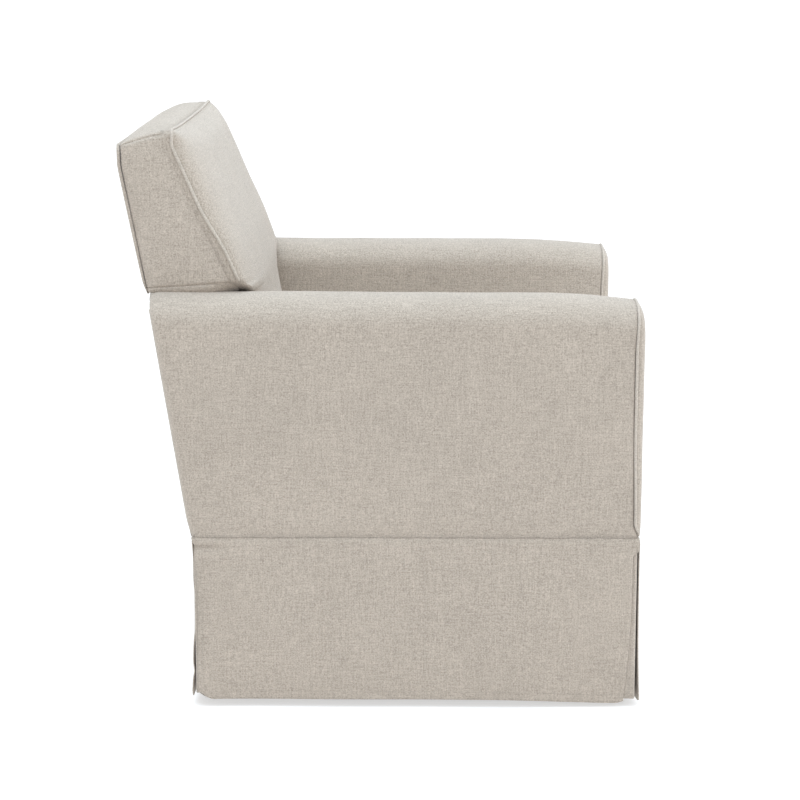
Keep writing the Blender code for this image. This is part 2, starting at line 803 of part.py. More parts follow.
def corner_pleats(look, parent):
    """Folded strips that close each split corner of the skirt from behind."""
    x = HALF_WIDTH - SKIRT_CLOTH - 2 * GAP
    places = (("front", SKIRT_FRONT_Y + SKIRT_CLOTH + 2 * GAP, 1.0),
              ("rear", REAR_Y_AT_SEAM - SKIRT_CLOTH - 2 * GAP, -1.0))
    for end, y, inward in places:
        outline = [
            (x, y), (x, y + inward * PLEAT_LEG), (x - PLEAT_CLOTH, y + inward * PLEAT_LEG),
            (x - PLEAT_CLOTH, y + inward * PLEAT_CLOTH), (x - PLEAT_LEG, y + inward * PLEAT_CLOTH),
            (x - PLEAT_LEG, y),
        ]
        for word, side in SIDES:
            prism(
                f"{end}_{word}_pleat",
                [(side * a, b) for a, b in outline],
                lambda a, b: (a, b, PLEAT_HEM),
                lambda a, b: (a, b, PLEAT_TOP),
                look,
                parent,
            )


def seat_cushion(look, parent):
    """Loose box cushion whose rear face leans with the inside back."""
    edge = ARM_INNER - 0.001
    bottom = DECK_TOP + GAP
    outline = [
        (CUSHION_FRONT_Y, bottom), (pad_front_y(bottom) - CUSHION_BACK_GAP, bottom),
        (pad_front_y(CUSHION_TOP) - CUSHION_BACK_GAP, CUSHION_TOP), (CUSHION_FRONT_Y, CUSHION_TOP),
    ]
    made = prism(
        "seat_cushion",
        outline,
        lambda y, z: (-edge, y, z),
        lambda y, z: (edge, y, z),
        look,
        parent,
    )
    bevel(made, 0.018, 2)


def build():
    enamel = material("black_enamel_steel", (0.02, 0.02, 0.022), 0.45, 0.4)
    zinc = material("zinc_plated_steel", (0.55, 0.56, 0.57), 0.35, 1.0)
    rubber = material("black_rubber", (0.03, 0.03, 0.03), 0.85)
    pine = material("pine_board", (0.55, 0.38, 0.20), 0.65)
    linen = material("greige_linen", (0.56, 0.50, 0.44), 0.92)
    foam = material("cream_foam", (0.78, 0.72, 0.55), 0.95)
    webbing = material("grey_webbing", (0.20, 0.20, 0.21), 0.85)
    dust_cloth = material("black_dust_cloth", (0.03, 0.03, 0.03), 0.95)

    base = pivot("base_body", (0.0, 0.0, 0.0))
    base_ring(enamel, base)
    base_feet(rubber, base)
    base_cross(enamel, base)
    swivel_lower_race(zinc, base)
    swivel_spindle(zinc, base)

    swivel = pivot("swivel_body", (0.0, AXIS_Y, 0.0), base)
    swivel_upper_race(zinc, swivel)
    swivel_plate(enamel, swivel)
    for word, side in SIDES:
        tower(f"{word}_tower", side, enamel, swivel)

    for end, sign in ENDS:
        for word, side in SIDES:
            place = (side * LINK_X, AXIS_Y + sign * PIVOT_Y, UPPER_PIVOT_Z)
            upper = pivot(f"{end}_{word}_link_body", place, swivel)
            link(f"{end}_{word}_link", side, sign, zinc, upper)

    seat = pivot("seat_body", (LINK_X, AXIS_Y + PIVOT_Y, LOWER_PIVOT_Z), upper)
    for word, side in SIDES:
        hanger(f"{word}_hanger", side, enamel, seat)
    lower_shafts(zinc, seat)
    seat_rails(pine, seat)
    arm_frames(pine, seat)
    back_frame(pine, seat)
    seat_springs(zinc, seat)
    back_webbing(webbing, seat)
    arm_covers(linen, seat)
    arm_pads(foam, seat)
    arm_facings(linen, seat)
    outer_back_panel(linen, seat)
    back_box(linen, seat)
    back_front_pad(linen, seat)
    seat_deck(linen, seat)
    front_border(linen, seat)
    dust_cover(dust_cloth, seat)
    skirt_panels(linen, seat)
    corner_pleats(linen, seat)

    cushion = pivot("cushion_body", (0.0, 0.0, DECK_TOP), seat)
    seat_cushion(linen, cushion)


clear_scene()
PARTS = collection("glider_nursery_chair")
CUTTERS = collection("cutters")
build()
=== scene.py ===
from math import copysign, cos, exp, pi, sin, tau

import bmesh
import bpy
import numpy as np
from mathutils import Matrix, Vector


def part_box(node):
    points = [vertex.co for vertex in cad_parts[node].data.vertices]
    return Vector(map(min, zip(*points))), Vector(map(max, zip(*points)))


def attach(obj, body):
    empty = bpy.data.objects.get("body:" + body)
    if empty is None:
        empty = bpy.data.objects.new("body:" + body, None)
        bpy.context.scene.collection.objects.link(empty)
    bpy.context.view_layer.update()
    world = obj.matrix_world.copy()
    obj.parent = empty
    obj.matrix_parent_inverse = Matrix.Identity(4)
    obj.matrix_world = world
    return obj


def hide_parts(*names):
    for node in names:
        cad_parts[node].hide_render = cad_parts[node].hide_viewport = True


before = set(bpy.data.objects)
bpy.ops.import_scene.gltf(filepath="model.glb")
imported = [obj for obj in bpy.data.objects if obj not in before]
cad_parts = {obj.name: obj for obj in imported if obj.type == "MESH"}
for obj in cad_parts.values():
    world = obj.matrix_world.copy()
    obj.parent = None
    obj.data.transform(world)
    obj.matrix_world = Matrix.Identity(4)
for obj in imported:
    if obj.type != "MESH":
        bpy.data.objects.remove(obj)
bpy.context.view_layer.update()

# ---- measures taken from the frame

SIDES = (("left", 1.0), ("right", -1.0))
ENDS = (("front", -1.0), ("rear", 1.0))


def points_of(mesh):
    """All the mesh's points, as rows of an array."""
    return np.array([v.co for v in mesh.vertices])


def support(node, direction):
    """The point of a CAD node that lies furthest along a direction."""
    points = points_of(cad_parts[node].data)
    return Vector(points[int(np.argmax(points @ np.array(direction, float)))])


ARM_LOW, ARM_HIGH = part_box("left_arm_cover")
FACING_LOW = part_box("left_arm_facing")[0]
OUTER_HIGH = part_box("outer_back_panel")[1]
CUSHION_LOW, CUSHION_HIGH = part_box("seat_cushion")
BORDER_LOW, BORDER_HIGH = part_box("front_border")
SIDE_SKIRT_LOW, SIDE_SKIRT_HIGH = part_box("left_skirt")
FRONT_SKIRT_LOW, FRONT_SKIRT_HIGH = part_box("front_skirt")
REAR_SKIRT_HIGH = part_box("rear_skirt")[1]

HALF_WIDTH = ARM_HIGH.x
ARM_INNER = ARM_LOW.x
ARM_TOP = ARM_HIGH.z
ARM_MIDDLE_X = (HALF_WIDTH + ARM_INNER) / 2
ARM_FRONT_Y = ARM_LOW.y
PANEL_BOTTOM_Z = FACING_LOW.z
INNER_LEG_SHORTER = 0.0345
INNER_BOTTOM_Z = BORDER_LOW.z + INNER_LEG_SHORTER
REAR_SLOPE = (OUTER_HIGH.y - REAR_SKIRT_HIGH.y) / (OUTER_HIGH.z - REAR_SKIRT_HIGH.z)

BACK_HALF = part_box("back_box")[1].x
# corners of the upper back's box, seen from the side as (y, z)
REAR_LOW = support("back_box", (-50, 1, -1)).yz
REAR_HIGH = support("back_box", (-50, 1, 1)).yz
FRONT_HIGH = support("back_box", (-50, -1, 1)).yz
FRONT_LOW = support("back_box", (-50, -1, -1)).yz

# ---- looks of the soft parts

# arms and lower back
ARM_SHOULDER = 0.045
ARM_ROUNDNESS = 2.35
ARM_TOP_SLOPE = 0.0030
ARM_CREST_RISE = 0.0031
ARM_FRONT_DROP = 0.0096
ARM_FRONT_DROP_LENGTH = 0.15
ARM_SHELL = 0.009
COVER_BEHIND_WELT = 0.0022
ARM_OUTER_FULLNESS = 0.0012
ARM_INNER_FULLNESS = 0.0020
ARM_CORNER_LIP = 0.0020
ARM_PULLS = 0.0006
ARM_BOTTOM_DROP = 0.0012
FRONT_EDGE_DIP = 0.20
REAR_EDGE_DIP = 0.45
REAR_ROUND = 0.016
REAR_WRAP = 0.026
REAR_PUFF = 0.0026
OUTER_BACK_RISE = 0.0065
OUTER_BACK_CORNER_DROP = 0.0090
WELT_BOW = 0.0028
WELT_TOP_FORWARD = 0.0030
WELT_HOOK = 0.0072
WELT_LEAN = 0.0028
PANEL_TUCK = 0.0030
PANEL_TUCK_ZONE = 0.026
WELT_RADIUS = 0.0023
WELT_OUT = 0.0016
WELT_STEP = 0.006
FACING_WELT_RADIUS = 0.0021

# upper back
BACK_CORNER = 0.010
BACK_UNDER_T = -0.036
CORNER_ROUND = 0.010
T_SHOULDER_Z = FRONT_LOW.y + 0.011
T_WAIST_Z = FRONT_LOW.y - 0.011
WING_TURN = 0.0105
LOW_SEAM_FRONT = 0.046
LOW_SEAM_REAR = 0.012
LOW_SEAM_ROW = 0.030
LOW_SEAM_DEPTH = 0.0022
TOP_SEAM_DEPTH = 0.0022
BOXING_PUFF = 0.0038
BOXING_DIP = 0.0040
BOXING_DIP_LENGTH = 0.0120
BOXING_CREVICE = 0.0090
BOXING_CREVICE_LENGTH = 0.0058
BOXING_DEPTH = 0.12
REAR_DIP = 0.0034
REAR_DIP_LENGTH = 0.0045
SEAM_BOW = 0.0095
TOP_SAG = 0.0050
TOP_REAR_ARCH = 0.0015
TOP_BULGE = 0.012
TOP_ROLL = 0.034
BACK_CROWN = 0.030
BACK_REAR_PAD = 0.0005
REAR_BAND_LOW = 0.0045
REAR_BAND_HIGH = 0.0060
REAR_CROWN = 0.0030
REAR_EDGE_BOW = 0.0045
PAD_LOWER_SLOPE = 0.18
PAD_LOWER_DEPTH = 0.0190
PAD_BELLY = 0.0035

# seat cushion
CUSHION_INSET = 0.004
CUSHION_PRESSURE = 4.0
CUSHION_SWELL = 0.010
CUSHION_SQUARENESS = 2 / 14
CUSHION_SIDE_GAP = 0.0020
CUSHION_UNDER_GAP = 0.0004
CUSHION_WELT_INSET = 0.0006
SIMULATION_GRID = 0.006
SIMULATION_FRAMES = 20

# skirt and stitching
SKIRT_THICKNESS = 0.0016
SKIRT_TOP_LIFT = 0.0016
SKIRT_REAR_INSET = 0.0052
SKIRT_REAR_SWAY = 0.0038
SKIRT_HEM_ROUND = 0.0090
SKIRT_SLIT_ROUND = 0.0030
SKIRT_CREASE = 0.0050
PLEAT_THICKNESS = 0.0014
SKIRT_ROWS = np.linspace(0.0, 1.0, 62)
SLIT_ROW = 12
SLIT_SEAM = np.s_[SLIT_ROW:-3, 2]
HEM_TURN = np.s_[-4, 5:-6]
SKIRT_TOP_INSET = 0.0042
SLIT_START = 0.106
SLIT_RUN = 0.0102
PLEAT_LEG = 0.066
STITCH_PITCH = 0.0046
STITCH_RADIUS = 0.0004

LINEN_DARK = (0.298, 0.254, 0.213)
LINEN_LIGHT = (0.590, 0.516, 0.442)
LINEN_SHEEN = 0.34


def rear_y(height):
    """The slanted plane of the chair's lower back."""
    return REAR_SKIRT_HIGH.y + (height - REAR_SKIRT_HIGH.z) * REAR_SLOPE


def rear_skin_y(height):
    """The outside of the padded cloth over that plane, drawn in at the bottom seam."""
    return rear_y(height) + REAR_PUFF * ease(height, PANEL_BOTTOM_Z - 0.002, PANEL_BOTTOM_Z + 0.030)


# ---- material nodes


def new_material(name):
    made = bpy.data.materials.new(name)
    made.use_nodes = True
    tree = made.node_tree
    return made, tree, tree.nodes["Principled BSDF"]


def put(socket, value):
    if isinstance(value, bpy.types.NodeSocket):
        socket.id_data.links.new(value, socket)
    else:
        socket.default_value = value


def put_all(node, values):
    for key, value in values.items():
        put(node.inputs[key], value)


def shader_node(tree, kind, values=None, **settings):
    made = tree.nodes.new(kind)
    for key, value in settings.items():
        setattr(made, key, value)
    put_all(made, values or {})
    return made


def maths(tree, operation, first, second=0.0, third=0.0):
    made = shader_node(tree, "ShaderNodeMath", operation=operation)
    for socket, value in zip(made.inputs, (first, second, third)):
        put(socket, value)
    return made.outputs[0]


def noise_at(tree, coords, scale, detail=2.0, roughness=0.55):
    """Noise with its own scale on each axis, in cycles per metre."""
    if not hasattr(scale, "__len__"):
        scale = (scale, scale, scale)
    mapping = shader_node(tree, "ShaderNodeMapping", {"Vector": coords, "Scale": scale})
    values = {"Vector": mapping.outputs[0], "Scale": 1.0, "Detail": detail, "Roughness": roughness}
    return shader_node(tree, "ShaderNodeTexNoise", values).outputs["Fac"]


def remap(tree, value, low, high, to_low=0.0, to_high=1.0):
    values = {"Value": value, "From Min": low, "From Max": high, "To Min": to_low, "To Max": to_high}
    return shader_node(tree, "ShaderNodeMapRange", values).outputs["Result"]


def mix_colour(tree, factor, first, second, blend="MIX"):
    made = shader_node(tree, "ShaderNodeMix", data_type="RGBA", blend_type=blend)
    put(made.inputs[0], factor)
    for socket, value in ((made.inputs[6], first), (made.inputs[7], second)):
        put(socket, (*value, 1.0) if isinstance(value, tuple) else value)
    return made.outputs[2]


def object_coords(tree):
    return shader_node(tree, "ShaderNodeTexCoord").outputs["Object"]


def bump(tree, shader, height, distance, strength):
    values = {"Height": height, "Distance": distance, "Strength": strength}
    made = shader_node(tree, "ShaderNodeBump", values)
    put(shader.inputs["Normal"], made.outputs[0])


def weave_height(tree, coords, pitch):
    """Plain weave: threads cross over and under, on whichever two axes the surface spans."""
    split = shader_node(tree, "ShaderNodeSeparateXYZ", {"Vector": coords}).outputs
    waves = [maths(tree, "SINE", maths(tree, "MULTIPLY", axis, tau / pitch)) for axis in split]
    pairs = [maths(tree, "MULTIPLY", waves[i], waves[(i + 1) % 3]) for i in range(3)]
    return maths(tree, "ADD", maths(tree, "ADD", pairs[0], pairs[1]), pairs[2])


def threads_three_ways(tree, coords, along, across):
    """Fine noise stretched along z, y and x in turn."""
    scales = ((across, across, along), (across, along, across), (along, across, across))
    return [noise_at(tree, coords, scale, 1.0) for scale in scales]


def linen(name, dark=LINEN_DARK, light=LINEN_LIGHT, pitch=0.0024):
    """Slubby linen weave: short thread dashes both ways, fine grain, faint streaks, mottling, sheen."""
    made, tree, shader = new_material(name)
    coords = object_coords(tree)
    dashes = threads_three_ways(tree, coords, 900.0, 380.0)
    streaks = threads_three_ways(tree, coords, 40.0, 620.0)
    dash = maths(tree, "MULTIPLY_ADD", dashes[0], 1.5, maths(tree, "ADD", dashes[1], dashes[2]))
    streak = maths(tree, "ADD", maths(tree, "ADD", streaks[0], streaks[1]), streaks[2])
    grain = remap(tree, dash, 1.35, 2.15)
    threads = remap(tree, streak, 1.15, 1.85)
    tone = maths(tree, "MULTIPLY_ADD", threads, 0.40, maths(tree, "MULTIPLY", grain, 0.60))
    colour = mix_colour(tree, tone, dark, light)
    slubs = noise_at(tree, coords, (110.0, 110.0, 480.0), 1.0)
    colour = mix_colour(tree, remap(tree, slubs, 0.64, 0.74, 0.0, 0.30), colour, light)
    mottle = noise_at(tree, coords, 9.0, 3.0)
    shade = remap(tree, mottle, 0.3, 0.7, 0.965, 1.03)
    grey = shader_node(tree, "ShaderNodeCombineXYZ", {"X": shade, "Y": shade, "Z": shade})
    put_all(shader, {
        "Base Color": mix_colour(tree, 1.0, colour, grey.outputs[0], "MULTIPLY"),
        "Roughness": remap(tree, tone, 0.0, 1.0, 0.96, 0.84),
        "Sheen Weight": LINEN_SHEEN,
        "Sheen Roughness": 0.50,
        "Sheen Tint": (1.0, 0.99, 0.97, 1.0),
        "Specular IOR Level": 0.25,
    })
    height = maths(tree, "MULTIPLY_ADD", weave_height(tree, coords, pitch), 0.20, tone)
    bump(tree, shader, height, 0.0008, 0.55)
    return made


def plain_cloth(name, dark, light, pitch, roughness=0.9, sheen=0.1):
    """Simple close weave for webbing, tape and the dust cover."""
    made, tree, shader = new_material(name)
    coords = object_coords(tree)
    weave = weave_height(tree, coords, pitch)
    fibres = noise_at(tree, coords, 700.0, 3.0)
    colour = mix_colour(tree, remap(tree, fibres, 0.3, 0.7), dark, light)
    put_all(shader, {
        "Base Color": colour,
        "Roughness": remap(tree, fibres, 0.3, 0.7, roughness - 0.08, roughness),
        "Sheen Weight": sheen,
    })
    bump(tree, shader, maths(tree, "MULTIPLY_ADD", fibres, 0.5, weave), 0.0004, 0.4)
    return made


def foam(name):
    """Cream cut foam with open cells."""
    made, tree, shader = new_material(name)
    coords = object_coords(tree)
    cells = shader_node(tree, "ShaderNodeTexVoronoi", {"Vector": coords, "Scale": 520.0})
    tone = remap(tree, cells.outputs["Distance"], 0.0, 0.8)
    put(shader.inputs["Base Color"], mix_colour(tree, tone, (0.60, 0.52, 0.33), (0.82, 0.76, 0.56)))
    put(shader.inputs["Roughness"], remap(tree, tone, 0.0, 1.0, 0.98, 0.88))
    bump(tree, shader, tone, 0.0008, 0.5)
    return made


def pine(name):
    """Sawn pine, with coarse bands and fine lines of grain."""
    made, tree, shader = new_material(name)
    coords = object_coords(tree)
    rings = noise_at(tree, coords, (3.5, 3.5, 55.0), 4.0, 0.6)
    fine = noise_at(tree, coords, (18.0, 18.0, 420.0), 3.0)
    tone = remap(tree, rings, 0.36, 0.64)
    colour = mix_colour(tree, tone, (0.42, 0.25, 0.11), (0.66, 0.46, 0.25))
    colour = mix_colour(tree, remap(tree, fine, 0.45, 0.7, 0.0, 0.4), colour, (0.34, 0.19, 0.08))
    put(shader.inputs["Base Color"], colour)
    put(shader.inputs["Roughness"], remap(tree, fine, 0.3, 0.7, 0.55, 0.72))
    bump(tree, shader, fine, 0.0004, 0.35)
    return made


def metal(name, colour, worn, roughness, metallic, coat=0.0):
    """Steel with faint orange peel, and wear where fine noise breaks through."""
    made, tree, shader = new_material(name)
    coords = object_coords(tree)
    peel = noise_at(tree, coords, 260.0, 2.0)
    scuffs = noise_at(tree, coords, (30.0, 140.0, 30.0), 5.0, 0.7)
    put_all(shader, {
        "Base Color": mix_colour(tree, remap(tree, scuffs, 0.60, 0.72), colour, worn),
        "Roughness": remap(tree, scuffs, 0.3, 0.7, roughness - 0.07, roughness + 0.12),
        "Metallic": metallic,
        "Coat Weight": coat,
    })
    bump(tree, shader, peel, 0.0002, 0.25)
    return made


def rubber(name):
    """Black rubber, greyed by dust."""
    made, tree, shader = new_material(name)
    dust = noise_at(tree, object_coords(tree), 60.0, 4.0)
    colour = mix_colour(tree, remap(tree, dust, 0.45, 0.75), (0.018, 0.018, 0.018), (0.06, 0.058, 0.055))
    put(shader.inputs["Base Color"], colour)
    put(shader.inputs["Roughness"], remap(tree, dust, 0.3, 0.7, 0.72, 0.92))
    bump(tree, shader, dust, 0.0004, 0.3)
    return made


MAT = {
    "linen": linen("linen_cloth"),
    # lighter copy of the linen for the welt cords: painted highlight for the light line each cord catches
    "welt": linen("linen_welt_painted_highlight", (0.38, 0.332, 0.284), (0.66, 0.590, 0.516), 0.0014),
    # darker copy of the linen for the corner pleats: painted shade for the strip that sits in shadow
    # behind the split corners
    "inner": linen("linen_pleat_painted_shade", (0.28, 0.240, 0.202), (0.57, 0.500, 0.430)),
    "thread": plain_cloth("sewing_thread", (0.40, 0.35, 0.30), (0.52, 0.47, 0.41), 0.0008),
    "deck": plain_cloth("deck_cloth", (0.30, 0.27, 0.235), (0.42, 0.385, 0.34), 0.0015),
    "foam": foam("cream_foam"),
    "webbing": plain_cloth("elastic_webbing", (0.12, 0.12, 0.125), (0.24, 0.24, 0.245), 0.0028),
    "dust": plain_cloth("dust_cloth", (0.016, 0.016, 0.017), (0.04, 0.04, 0.042), 0.0012),
    "pine": pine("pine_board"),
    "enamel": metal("black_enamel", (0.018, 0.018, 0.02), (0.10, 0.10, 0.10), 0.42, 0.0, 0.3),
    "zinc": metal("zinc_steel", (0.56, 0.57, 0.58), (0.40, 0.39, 0.37), 0.32, 1.0),
    "rubber": rubber("foot_rubber"),
}

# ---- mesh helpers


def piece(name, verts, faces, look="linen", body="seat", smooth=True):
    """A mesh object with its material and slot, on its body unless that comes later."""
    mesh = bpy.data.meshes.new(name)
    mesh.from_pydata([tuple(map(float, v)) for v in verts], [], [tuple(map(int, f)) for f in faces])
    mesh.update()
    made = bpy.data.objects.new(name, mesh)
    bpy.context.scene.collection.objects.link(made)
    mesh.materials.append(MAT[look])
    tidy(made)
    if smooth:
        mesh.shade_smooth()
    if body:
        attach(made, body)
    return made


def tidy(made):
    """Merges doubled points and turns all faces outward."""
    bm = bmesh.new()
    bm.from_mesh(made.data)
    bmesh.ops.remove_doubles(bm, verts=bm.verts, dist=1e-6)
    bmesh.ops.recalc_face_normals(bm, faces=bm.faces)
    bm.to_mesh(made.data)
    bm.free()


def grid_faces(rows, columns, close_rows=False, close_columns=False, start=0):
    """Four-sided faces between neighbouring points of a grid, joined up at its edges if wanted."""
    faces = []
    for i in range(rows if close_rows else rows - 1):
        for j in range(columns if close_columns else columns - 1):
            a = start + i * columns + j
            b = start + i * columns + (j + 1) % columns
            c = start + ((i + 1) % rows) * columns + (j + 1) % columns
            d = start + ((i + 1) % rows) * columns + j
            faces.append((a, b, c, d))
    return faces


def bake(made):
    """Applies the modifiers and keeps the plain mesh."""
    graph = bpy.context.evaluated_depsgraph_get()
    mesh = bpy.data.meshes.new_from_object(made.evaluated_get(graph))
    made.modifiers.clear()
    made.data = mesh


def grid_piece(name, grid, look="linen"):
    """A smooth surface through a grid of points, not on any body yet."""
    p = np.array(grid, float)
    return piece(name, p.reshape(-1, 3), grid_faces(*p.shape[:2]), look, None)


def thicken(made, body, thickness, offset=0.0, even=True):
    """Makes a surface into a shell of that thickness, inward at offset -1, and puts it on its body."""
    modifier = made.modifiers.new("thickness", "SOLIDIFY")
    modifier.thickness = thickness
    modifier.offset = offset
    modifier.use_even_offset = even
    bake(made)
    tidy(made)
    made.data.shade_smooth()
    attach(made, body)


def capped_rings(rings, count):
    """Faces of a shell made of rings of points, closed by the first and the last ring."""
    faces = grid_faces(rings, count, close_columns=True)
    return faces + [tuple(range(count)), tuple(range((rings - 1) * count, rings * count))]


def ripple(points, size, seed=0.0):
    """Smooth noise from a few crossed waves, -1 to 1, for any array of points (..., 3)."""
    p = np.asarray(points, float) / size
    x, y, z = p[..., 0], p[..., 1], p[..., 2]
    total = np.sin(2.1 * x + 1.3 * y - 1.7 * z + seed)
    total += np.sin(-1.6 * x + 2.3 * y + 1.1 * z + 2.0 * seed + 1.0)
    total += np.sin(1.2 * x - 0.9 * y + 2.6 * z + 0.7 * seed + 2.0)
    total += 0.5 * np.sin(4.3 * x + 3.7 * y + 3.1 * z + 1.9 * seed)
    return total / 3.5


def ease(value, low, high):
    """0 below low, 1 above high, smooth between."""
    t = np.clip((np.asarray(value, float) - low) / (high - low), 0.0, 1.0)
    return t * t * (3 - 2 * t)


def bell(value, middle, width):
    """1 at the middle, fading out smoothly on both sides."""
    return np.exp(-((value - middle) / width) ** 2)


def path_length(path):
    return np.linalg.norm(np.diff(np.asarray(path, float), axis=0), axis=1).sum()


def spaced(points, count, closed=False):
    """The points of a polyline, spaced evenly along it."""
    p = np.asarray(points, float)
    if closed:
        p = np.vstack([p, p[:1]])
    steps = np.concatenate([[0.0], np.cumsum(np.linalg.norm(np.diff(p, axis=0), axis=1))])
    goals = np.linspace(0.0, steps[-1], count + 1)[:-1] if closed else np.linspace(0.0, steps[-1], count)
    return np.stack([np.interp(goals, steps, p[:, k]) for k in range(p.shape[1])], axis=1)


def tube_mesh(path, radius, closed=False, sides=8, taper=False):
    """Points and faces of a round cord along a path, joined up or with closed ends."""
    p = np.asarray(path, float)
    if closed:
        tangents = np.roll(p, -1, 0) - np.roll(p, 1, 0)
    else:
        tangents = np.gradient(p, axis=0)
    tangents /= np.linalg.norm(tangents, axis=1)[:, None]
    side = np.cross(tangents[0], (0.0, 0.0, 1.0))
    if np.linalg.norm(side) < 0.1:
        side = np.cross(tangents[0], (1.0, 0.0, 0.0))
    side /= np.linalg.norm(side)
    verts = []
    for i, (point, tangent) in enumerate(zip(p, tangents)):
        side = side - tangent * (side @ tangent)
        side /= np.linalg.norm(side)
        up = np.cross(tangent, side)
        size = radius
        if taper and i in (0, len(p) - 1):
            size = radius * 0.4
        for k in range(sides):
            angle = tau * k / sides
            verts.append(point + size * (cos(angle) * side + sin(angle) * up))
    if closed:
        return verts, grid_faces(len(p), sides, close_rows=True, close_columns=True)
    return verts, capped_rings(len(p), sides)


def tubes_mesh(lines, radius, sides, taper=False):
    """Points and faces of many separate cords."""
    verts, faces = [], []
    for line in lines:
        more_verts, more_faces = tube_mesh(line, radius, sides=sides, taper=taper)
        faces += [tuple(k + len(verts) for k in face) for face in more_faces]
        verts += more_verts
    return verts, faces


def welt(name, path, body, closed=False, radius=WELT_RADIUS):
    """Piping along a path."""
    points = spaced(path, max(8, int(path_length(path) / WELT_STEP)), closed)
    verts, faces = tube_mesh(points, radius, closed)
    # the cord takes the lighter linen copy, a painted highlight
    return piece(name, verts, faces, "welt", body)


def stitches(name, paths, body):
    """Rows of short thread stitches along paths, two thirds of the pitch long."""
    lines = []
    for path in paths:
        count = max(2, int(path_length(path) / STITCH_PITCH))
        ends = spaced(path, 3 * count + 1)
        for a, b in zip(ends[0:-1:3], ends[2::3]):
            lines.append([a, a + (b - a) * 0.5, b])
    verts, faces = tubes_mesh(lines, STITCH_RADIUS, 5, taper=True)
    return piece(name, verts, faces, "thread", body)


# ---- arms


def arm_top_z(y):
    """The arms' crest, almost level, then dropping gently over the last hand's width to the front."""
    share = np.clip((ARM_HIGH.y - y) / (ARM_HIGH.y - ARM_FRONT_Y), 0.0, 1.0)
    near_front = np.clip(1 - (y - ARM_FRONT_Y) / ARM_FRONT_DROP_LENGTH, 0.0, 1.1)
    return ARM_TOP + ARM_CREST_RISE - ARM_TOP_SLOPE * share - ARM_FRONT_DROP * near_front ** 1.7


def welt_y(z):
    """Where the arm cover meets the facing: bowed back between the arm's top and the bottom."""
    top = ease(z, ARM_TOP - 0.080, ARM_TOP - 0.010)
    lower = ease(-z, -PANEL_BOTTOM_Z - 0.170, -PANEL_BOTTOM_Z - 0.020)
    bottom = ease(-z, -PANEL_BOTTOM_Z - 0.022, -PANEL_BOTTOM_Z + 0.002)
    return ARM_FRONT_Y + WELT_BOW - WELT_TOP_FORWARD * top - WELT_LEAN * lower - WELT_HOOK * bottom


def facing_y(z):
    """The facing's front, rolling back a little towards the arm's crest."""
    return FACING_LOW.y + 0.0005 + 0.0055 * ease(z, ARM_TOP - 0.034, ARM_TOP) ** 1.5


def arm_profile(inset=0.0, dip=FRONT_EDGE_DIP):
    """The arm's section (x, z below the crest), inner leg, round top and outer leg."""
    half = (HALF_WIDTH - ARM_INNER) / 2 - inset
    rise = ARM_SHOULDER - inset * dip
    points = []
    for z in np.linspace(INNER_BOTTOM_Z - ARM_TOP, -ARM_SHOULDER, 14)[:-1]:
        points.append((ARM_INNER + inset, z))
    for t in np.linspace(pi, 0.0, 37):
        c, s = cos(t), sin(t)
        x = ARM_MIDDLE_X + half * copysign(abs(c) ** (2 / ARM_ROUNDNESS), c)
        points.append((x, -ARM_SHOULDER + rise * abs(s) ** (2 / ARM_ROUNDNESS)))
    for z in np.linspace(-ARM_SHOULDER, PANEL_BOTTOM_Z - ARM_TOP, 34)[1:]:
        points.append((HALF_WIDTH - inset, z))
    return np.array(points)


def arm_rows():
    """(share of the arm's length, inset, set back from the end), front to rear and round the corner."""
    rows = [(0.0, 0.0052, 0.0022), (0.0, 0.0030, 0.0004), (0.0, 0.0014, -0.0004), (0.0, 0.0004, -0.0022)]
    rows += [(0.0, 0.0, -0.0055), (0.012, 0.0, 0.0)]
    rows += [(share, 0.0, 0.0) for share in np.linspace(0.03, 0.95, 58)]
    for angle in np.linspace(0.0, pi / 2, 10)[1:]:
        inset = REAR_ROUND * (1 - cos(angle))
        rows.append((1.0, inset, REAR_ROUND * (1 - sin(angle))))
    rows.append((1.0, REAR_WRAP, 0.0004))
    rows.append((1.0, REAR_WRAP + 0.0035, 0.0050))
    return rows


